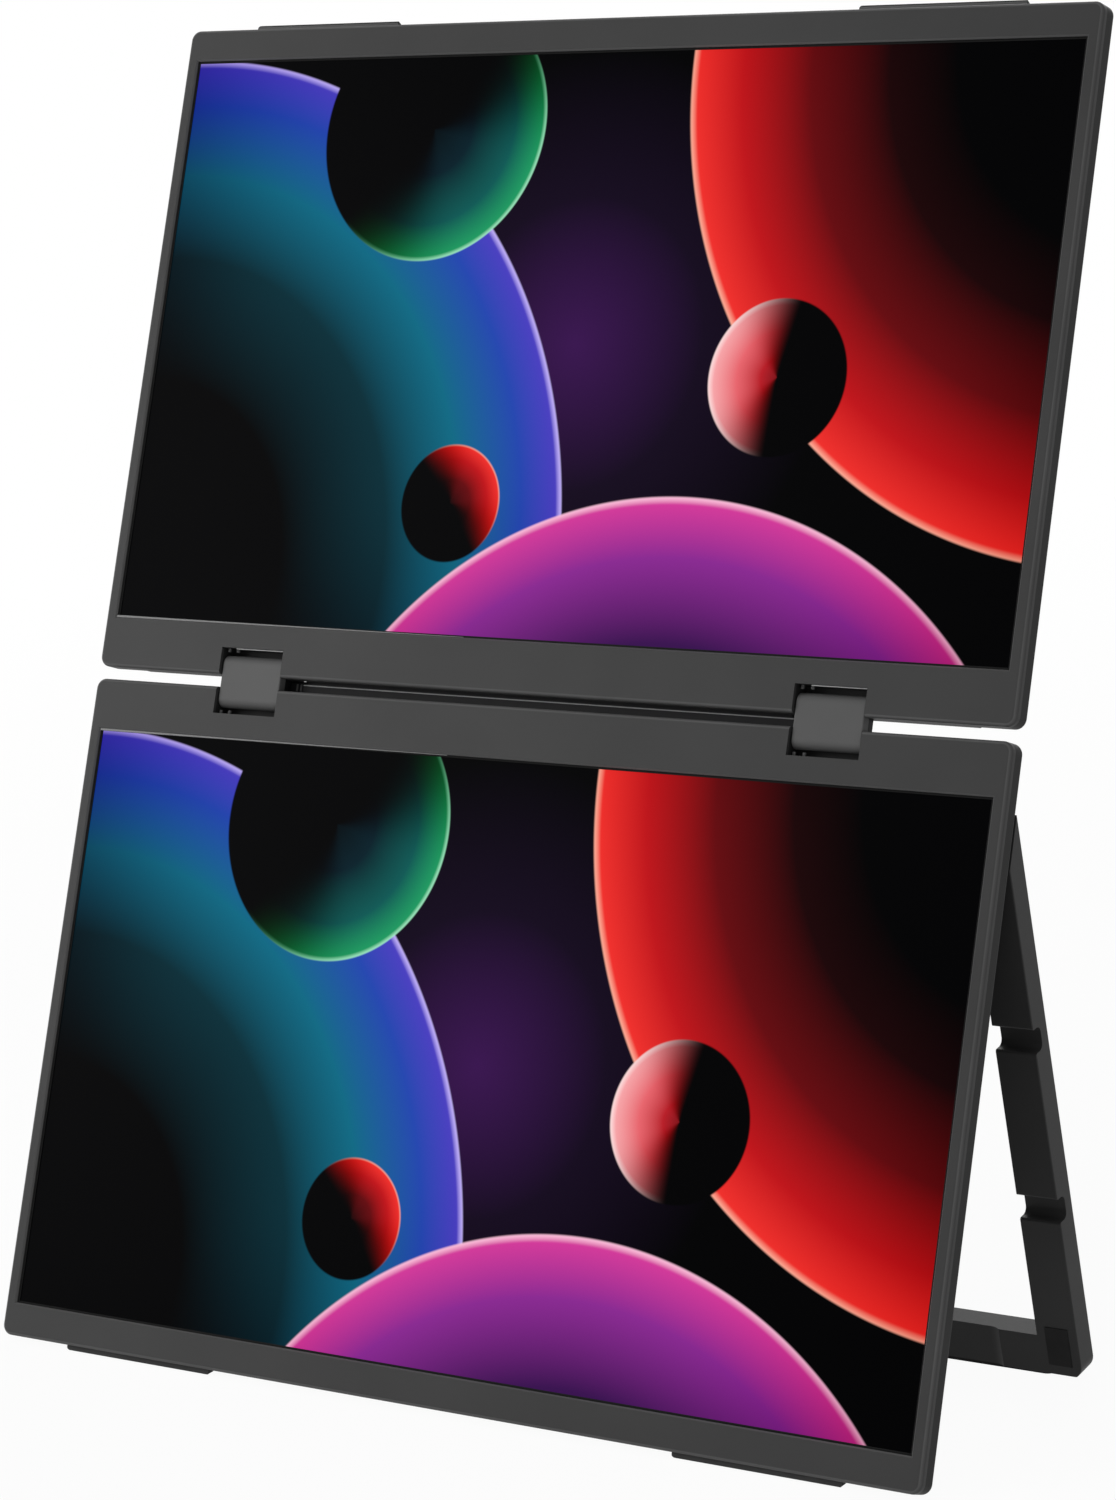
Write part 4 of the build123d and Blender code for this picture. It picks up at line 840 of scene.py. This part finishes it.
    def _foot_seats(self) -> None:
        """Model the ledges that the upper feet are set into, paler as a painted highlight."""
        end, deep, tall, soft = (size * MM for size in self.foot_seat_mm)
        nodes = self._foot_nodes()
        low, high = DISPLAYS.box(nodes[0])
        seat = Bench.bar((high.x - low.x - 2 * end, deep, tall), soft)
        inwards = Vector((0, deep / 2 - soft, 0))
        places = {f"{node}_seat": (self.level.body, DISPLAYS.at(DISPLAYS.spot(node, y=-1, z=-1) + inwards))
                  for node in nodes}
        # the paler plastic paints the light on the bezel's top edge
        Bench.hand_over(seat, places, "housing", Housing.LINK)


@dataclass
class HingeLink:
    """The hinges between the displays and the spine that joins them; places are in the displays' frame."""

    body: str = "hinge_link"
    notch_mm: Pair = (99.2, 125.0)  # from the middle to the near and the far end
    notch_wall_mm: float = 11.1
    lip_mm: tuple[float, ...] = (5.5, 0.5, 0.45, 0.9)  # inset, depth, height, way back
    lip_soft: float = 0.35
    stud_mm: tuple[float, ...] = (0.6, 1.3, 3.7, 2.5)  # radius, height, pitch, way back
    stud_start: float = 2.5  # in radii, as the next three
    post_start: float = 1.5
    post_room: float = 4.0
    post_proud: float = 0.6
    post_end: Triple = (0.35, 0.1, 0.15)  # inset, crown and soft edge, in radii
    post_mm: Triple = (0.32, 2.3, 1.7)  # radius, height, pitch
    trim_mm: Triple = (0.24, 0.45, 0.95)  # depth, height, rise
    trim_soft: float = 0.4
    trim_inset_mm: float = 0.5
    wing_mm: Triple = (8.0, 1.6, 4.8)  # length, depth, height
    wing_gap_mm: float = 1.3
    wing_soft_mm: float = 0.8
    finishes: dict[Housing, str] = field(default_factory=lambda: {
        Housing.LINK: "link_cover_front_left link_cover_front_right", Housing.CABLE: "spine_cable",
        Housing.SPINE: "link_cover_rear_left link_cover_rear_right spine_bar"})

    def build(self) -> None:
        """Dress covers, spine and cable, and the rest in ground steel, and model the small mouldings."""
        for finish, nodes in self.finishes.items():
            dress(finish.value, *nodes.split())
        bodies = frame["record"]["behaviour"]["bodies"]
        inner = [n for b, ns in bodies.items() if b.startswith(("hinge", "damper")) for n in ns]
        moulded = " ".join(self.finishes.values()).split()
        dress(Housing.STEEL.value, *(node for node in inner if node not in moulded))
        self._spine_trim()
        self._spine_wings()
        self._notch_mouldings()

    def _spine_trim(self) -> None:
        """Model the spine's front bead, pale as a painted highlight, and the posts at its left end."""
        deep, tall, rise = (size * MM for size in self.trim_mm)
        radius, height, pitch = (size * MM for size in self.post_mm)
        front = DISPLAYS.spot("spine_bar", y=-1).y + self.trim_inset_mm * MM
        end = self.notch_mm[0] * MM
        room = 2 * pitch + self.post_room * radius
        highlight_bead = Bench.bar((2 * end - room, deep, tall), deep * self.trim_soft)
        place = DISPLAYS.at((room / 2, front - deep / 2, rise))
        Bench.hand_over(highlight_bead, {"spine_highlight_bead": (self.body, place)}, "link_cover", Housing.LIP)
        posts = self._posts(radius, height, pitch)
        place = DISPLAYS.at((pitch + self.post_start * radius - end, front - self.post_proud * radius, 0))
        Bench.hand_over(posts, {"spine_posts": (self.body, place)}, "link_cover", Housing.LINK)

    def _spine_wings(self) -> None:
        """Carry the spine's back on behind the hinges, so that no light shows past its ends."""
        length, deep, tall = (size * MM for size in self.wing_mm)
        wing = Bench.block((length, deep, tall))
        Bench.pick(wing, lambda face: face.normal.y > FACING)
        bpy.ops.mesh.bevel(offset=self.wing_soft_mm * MM, segments=4, affect="EDGES")
        middle = (self.notch_mm[0] + self.wing_gap_mm) * MM + length / 2
        rear = DISPLAYS.spot("spine_bar", y=1).y - deep / 2
        places = {f"spine_wing_{name}": (self.body, DISPLAYS.at((side * middle, rear, 0)))
                  for name, side in (("left", -1), ("right", 1))}
        Bench.hand_over(wing, places, "spine", Housing.SPINE)

    def _notch_mouldings(self) -> None:
        """Model the lips in the upper display's notches, pale as a painted highlight,
        and the studs in the notches of both displays.
        """
        inset, deep, tall, back = (size * MM for size in self.lip_mm)
        radius, height, pitch, behind = (size * MM for size in self.stud_mm)
        near, far = (size * MM for size in self.notch_mm)
        wall = self.notch_wall_mm * MM
        starts = {"left": -far, "right": near}
        highlight_lip = Bench.bar((far - near - inset, deep, tall), tall * self.lip_soft)
        places = {f"upper_notch_lip_{side}": (Level.UPPER.body, DISPLAYS.at(
            (start + (far - near + inset) / 2, back, wall - tall / 2))) for side, start in starts.items()}
        Bench.hand_over(highlight_lip, places, "link_cover", Housing.LIP)
        studs = self._posts(radius, height, pitch)
        places = {f"{level.label}_notch_studs_{side}": (level.body, DISPLAYS.at(
            (start + self.stud_start * radius, behind, level.value * (wall - height / 2))))
            for side, start in starts.items() for level in Level}
        Bench.hand_over(studs, places, "housing", Housing.SHELL)

    def _posts(self, radius: float, height: float, pitch: float) -> Piece:
        """Model two round posts with softened ends.

        Args:
            radius: of each post.
            height: of each post.
            pitch: from the first post to the second.

        Returns:
            The posts, with the first round the origin.
        """
        inset, crown, soft = (share * radius for share in self.post_end)
        posts = Bench.start(bpy.ops.mesh.primitive_cylinder_add, vertices=20, radius=radius, depth=height)
        Bench.pick(posts, lambda face: abs(face.normal.z) > FACING)
        bpy.ops.mesh.inset(thickness=inset, depth=crown, use_individual=True)
        Bench.apply(posts, "BEVEL", width=soft, segments=2)
        Bench.apply(posts, "ARRAY", count=2, use_relative_offset=False, use_constant_offset=True,
                    constant_offset_displace=(pitch, 0, 0))
        return posts


class Mark(Enum):
    """Generic marks moulded on the push buttons."""

    POWER = "power_button"
    PLUS = "plus_button"
    MINUS = "minus_button"


@dataclass(frozen=True)
class ContactRow:
    """Contacts on the tongues of like sockets; side is 1 where these face right and -1 where left."""

    sockets: tuple[str, ...]
    count: int
    pitch_mm: float
    tongue_mm: float
    side: int


@dataclass
class ElectronicsBox:
    """The raised box on the back of the lower display, with its board, sockets and buttons."""

    body: str = "lower_display"
    wall_mm: float = 1.6
    vent_drop_mm: float = 42.5
    vent_half_mm: Pair = (31.0, 14.0)
    vent_cells: tuple[int, int] = (54, 24)
    wire_mm: float = 0.35
    cone_half_mm: Pair = (10.6, 5.2)
    cone_sink_mm: float = 0.95
    cone_wall_mm: float = 0.1
    cone_steps_mm: tuple[Pair, ...] = ((0.4, 0.0), (0.5, 0.3), (0.5, -0.3), (1.6, -0.3), (0.3, 0.25),
                                       (0.5, 0.12))  # inwards, rise
    contact_mm: Triple = (3.6, 0.04, 0.25)  # length, thickness, width
    contact_end: float = 0.5
    contact_rows: tuple[ContactRow, ...] = (
        ContactRow(("usb_c_port_upper", "usb_c_port_lower"), 12, 0.5, 0.7, 1),
        ContactRow(("mini_hdmi_port",), 10, 0.78, 0.6, -1))
    mouth_mm: float = 1.2
    mark_mm: float = 1.2
    mark_proud_mm: float = 0.08
    mark_soft_mm: float = 0.02
    mark_line: float = 0.28  # in half sizes of the mark, as the next three
    mark_arm: float = 0.4
    mark_gap: float = 0.42
    mark_stroke: Triple = (0.14, 0.5, 0.75)  # half width, half length, rise
    ring_mm: Pair = (2.02, 0.22)  # radius, radius of the wire
    ring_merge_mm: float = 0.001
    finishes: dict[Housing, str] = field(default_factory=lambda: {
        Housing.BACK: "electronics_cover", Housing.BOARD: "main_board",
        Housing.SOCKET: "usb_c_port_upper usb_c_port_lower mini_hdmi_port",
        Housing.BUTTON: "audio_jack power_button plus_button minus_button",
        Housing.SPEAKER: "speaker_left speaker_right", Housing.SCREW: "box_screws board_screws"})

    def build(self) -> None:
        """Dress the box's nodes and model its fine details."""
        for finish, nodes in self.finishes.items():
            dress(finish.value, *nodes.split())
        self._vent_mesh()
        self._speaker_cones()
        for row in self.contact_rows:
            self._contacts(row)
        for mark in Mark:
            self._button_mark(mark)
        self._jack_ring()

    def _vent_mesh(self) -> None:
        """Weave the dust mesh behind the vent slots."""
        half = (self.vent_half_mm[0] * MM, self.vent_half_mm[1] * MM, 1.0)
        mesh = Bench.start(bpy.ops.mesh.primitive_grid_add, half, x_subdivisions=self.vent_cells[0],
                           y_subdivisions=self.vent_cells[1], size=2.0)
        Bench.apply(mesh, "WIREFRAME", thickness=self.wire_mm * MM, use_even_offset=False)
        top = DISPLAYS.spot("electronics_cover", y=1, z=1)
        place = DISPLAYS.at((0, top.y - (self.wall_mm + self.wire_mm) * MM, top.z - self.vent_drop_mm * MM),
                            Turn.REAR)
        Bench.hand_over(mesh, {"vent_dust_mesh": (self.body, place)}, "steel", Housing.MESH)

    def _speaker_cones(self) -> None:
        """Press an oval cone with its roll edge and dust cap, and set one in each speaker."""
        half = (self.cone_half_mm[0] * MM, self.cone_half_mm[1] * MM, 1.0)
        cone = Bench.start(bpy.ops.mesh.primitive_circle_add, half, vertices=56, radius=1.0,
                           fill_type="NGON")
        for inwards, rise in self.cone_steps_mm:
            bpy.ops.mesh.inset(thickness=inwards * MM, depth=rise * MM)
        Bench.apply(cone, "SOLIDIFY", thickness=self.cone_wall_mm * MM, offset=-1.0)
        sink = Vector((0, self.cone_sink_mm * MM, 0))
        places = {}
        for side in ("left", "right"):
            spot = DISPLAYS.spot(f"speaker_{side}", y=1) - sink
            places[f"speaker_cone_{side}"] = (self.body, DISPLAYS.at(spot, Turn.REAR))
        Bench.hand_over(cone, places, "speaker", Housing.CONE)

    def _contacts(self, row: ContactRow) -> None:
        """Lay gold contacts on both faces of each socket's tongue.

        Args:
            row: the sockets that are alike and how their contacts lie.
        """
        length, thick, wide = (size * MM for size in self.contact_mm)
        pitch, tongue = row.pitch_mm * MM, row.tongue_mm * MM
        contact = Bench.block((length, thick, wide))
        Bench.pick(contact, lambda face: abs(face.normal.x) > FACING)
        bpy.ops.transform.resize(value=(1.0, 1.0, self.contact_end))
        bpy.ops.mesh.select_all(action="SELECT")
        bpy.ops.transform.translate(value=(0, (tongue + thick) / 2, -(row.count - 1) / 2 * pitch))
        Bench.apply(contact, "ARRAY", count=row.count, use_relative_offset=False, use_constant_offset=True,
                    constant_offset_displace=(0, 0, pitch))
        Bench.apply(contact, "MIRROR", use_axis=(False, True, False))
        sink = Vector((row.side * (self.mouth_mm * MM + length / 2), 0, 0))
        places = {f"{socket}_contacts": (self.body, DISPLAYS.at(DISPLAYS.spot(socket, x=row.side) - sink))
                  for socket in row.sockets}
        Bench.hand_over(contact, places, "port_shell", Housing.GOLD)

    def _button_mark(self, mark: Mark) -> None:
        """Mould a generic mark on the end of a button's cap.

        Args:
            mark: which button it is for.
        """
        half = self.mark_mm / 2 * MM
        arm, gap = self.mark_arm * half, self.mark_gap * half
        if mark is Mark.POWER:
            wide, tall, rise = (share * half for share in self.mark_stroke)
            piece = Bench.start(bpy.ops.mesh.primitive_circle_add, vertices=40, radius=half,
                                fill_type="NGON")
            bpy.ops.mesh.inset(thickness=self.mark_line * half)
            Bench.pick(piece, lambda face: face.center.length < arm
                       or abs(face.center.x) < gap and face.center.y > 0)
            bpy.ops.mesh.delete(type="FACE")
            bpy.ops.mesh.primitive_plane_add(size=2.0, location=(0, rise, 0))
            bpy.ops.transform.resize(value=(wide, tall, 1.0))
        else:
            piece = Bench.start(bpy.ops.mesh.primitive_grid_add, x_subdivisions=3, y_subdivisions=3,
                                size=2 * half)
            spare = arm if mark is Mark.PLUS else -half
            Bench.pick(piece, lambda face: abs(face.center.y) > arm and abs(face.center.x) > spare)
            bpy.ops.mesh.delete(type="FACE")
        Bench.apply(piece, "SOLIDIFY", thickness=2 * self.mark_proud_mm * MM, offset=0.0)
        Bench.apply(piece, "BEVEL", width=self.mark_soft_mm * MM, segments=2)
        place = DISPLAYS.at(DISPLAYS.spot(mark.value, x=-1), Turn.LEFT)
        Bench.hand_over(piece, {f"{mark.value}_mark": (mark.value, place)}, "button", Housing.MARK)

    def _jack_ring(self) -> None:
        """Turn the plated ring in the mouth of the audio socket."""
        radius, wire = (size * MM for size in self.ring_mm)
        ring = Bench.start(bpy.ops.mesh.primitive_circle_add, vertices=12, radius=wire,
                           location=(radius, 0, 0), rotation=(math.radians(90), 0, 0))
        bpy.ops.object.mode_set(mode="OBJECT")
        bpy.ops.object.transform_apply(location=True, rotation=True, scale=True)
        bpy.ops.object.mode_set(mode="EDIT")
        bpy.ops.mesh.select_all(action="SELECT")
        bpy.ops.mesh.spin(steps=44, angle=math.tau, center=(0, 0, 0), axis=(0, 0, 1))
        bpy.ops.mesh.select_all(action="SELECT")
        bpy.ops.mesh.remove_doubles(threshold=self.ring_merge_mm * MM)
        bpy.ops.mesh.normals_make_consistent(inside=False)
        place = DISPLAYS.at(DISPLAYS.spot("audio_jack", x=-1), Turn.LEFT)
        Bench.hand_over(ring, {"audio_jack_ring": (self.body, place)}, "port_shell", Housing.SOCKET)


@dataclass
class Kickstand:
    """The frame that swings out behind the lower display, and its pivots."""

    finishes: dict[Housing, str] = field(default_factory=lambda: {
        Housing.STAND: "stand_frame", Housing.RUBBER: "stand_sole stand_pads",
        Housing.STEEL: "stand_bracket_left stand_bracket_right stand_pins stand_washers",
        Housing.BRONZE: "stand_bushings", Housing.SCREW: "bracket_screws"})

    def build(self) -> None:
        """Dress the stand's nodes."""
        for finish, nodes in self.finishes.items():
            dress(finish.value, *nodes.split())


# Studio


@dataclass(frozen=True)
class PhotoCamera:
    """Camera at the photograph's viewing angle."""

    place: Triple = (0.84099355, -1.15829628, 0.54799391)
    turn_deg: Triple = (77.57402263, 5.37626176, 34.3595426)
    lens_mm: float = 110.928
    sensor_mm: float = 36.0
    shift_up: float = -0.08773

    def build(self) -> None:
        """Create the camera and make it the scene's own."""
        data = bpy.data.cameras.new("photo_camera")
        data.sensor_fit = "AUTO"
        data.sensor_width = self.sensor_mm
        data.lens = self.lens_mm
        data.shift_y = self.shift_up
        camera = bpy.data.objects.new("photo_camera", data)
        camera.location = self.place
        camera.rotation_euler = Euler([math.radians(a) for a in self.turn_deg])
        bpy.context.scene.collection.objects.link(camera)
        bpy.context.scene.camera = camera


@dataclass(frozen=True)
class SoftBox:
    """A large soft lamp that faces the object."""

    name: str
    place: Triple
    size: Pair
    watts: float

    def build(self, aim: Vector) -> None:
        """Hang the lamp.

        Args:
            aim: the point that it faces.
        """
        data = bpy.data.lights.new(self.name, "AREA")
        data.shape = "RECTANGLE"
        data.size, data.size_y = self.size
        data.energy = self.watts
        lamp = bpy.data.objects.new(self.name, data)
        lamp.location = self.place
        lamp.rotation_euler = (aim - Vector(self.place)).to_track_quat("-Z", "Y").to_euler()
        bpy.context.scene.collection.objects.link(lamp)


@dataclass
class Studio:
    """Plain pale floor, white surroundings and soft light, brighter from the left."""

    floor_half: float = 4.0
    white: str = "#ffffff"
    ambient: float = 0.28
    aim: Triple = (0.0, 0.0, 0.2)
    lamps: tuple[SoftBox, ...] = (
        SoftBox("key_front", (1.2, -2.6, 0.9), (1.4, 1.4), 3.0),
        SoftBox("side_left", (-1.05, -0.85, 0.68), (0.7, 0.9), 8.2),
        SoftBox("top", (0.0, -0.5, 2.4), (2.0, 1.6), 7.0),
        SoftBox("low_right", (1.15, -0.75, 0.2), (0.4, 0.3), 1.1),
        SoftBox("rear", (-0.7, 2.3, 1.3), (1.4, 1.2), 22.0),
    )

    def build(self) -> None:
        """Set the view, the world, the floor and the lamps."""
        bpy.context.scene.view_settings.view_transform = "Standard"
        self._world()
        self._floor()
        for lamp in self.lamps:
            lamp.build(Vector(self.aim))

    def _world(self) -> None:
        """Give plain soft light, and white where the camera or a reflection looks."""
        world = bpy.data.worlds.new("white_surroundings")
        bpy.context.scene.world = world
        world.use_nodes = True
        world.node_tree.nodes.clear()
        add = partial(add_node, world.node_tree)
        level = add("MapRange", {"To Min": self.ambient, "To Max": 1.0}, {"Value": looked_at(add)})
        glow = add("Background", {"Color": linear(self.white)}, {"Strength": level})
        add("OutputWorld", links={"Surface": glow})

    def _floor(self) -> None:
        """Lay a pale floor that keeps a faint shadow."""
        floor = Bench.start(bpy.ops.mesh.primitive_plane_add, size=2 * self.floor_half)
        bpy.ops.object.mode_set(mode="OBJECT")
        floor.name = "floor"
        floor.data.materials.append(StudioPaper().material())


def main() -> None:
    """Build every sub-assembly, then the studio and the camera."""
    logging.basicConfig(level=logging.INFO, format="%(message)s")
    for level in Level:
        Display(level).build()
    HingeLink().build()
    ElectronicsBox().build()
    Kickstand().build()
    Studio().build()
    PhotoCamera().build()


if __name__ == "__main__":
    main()
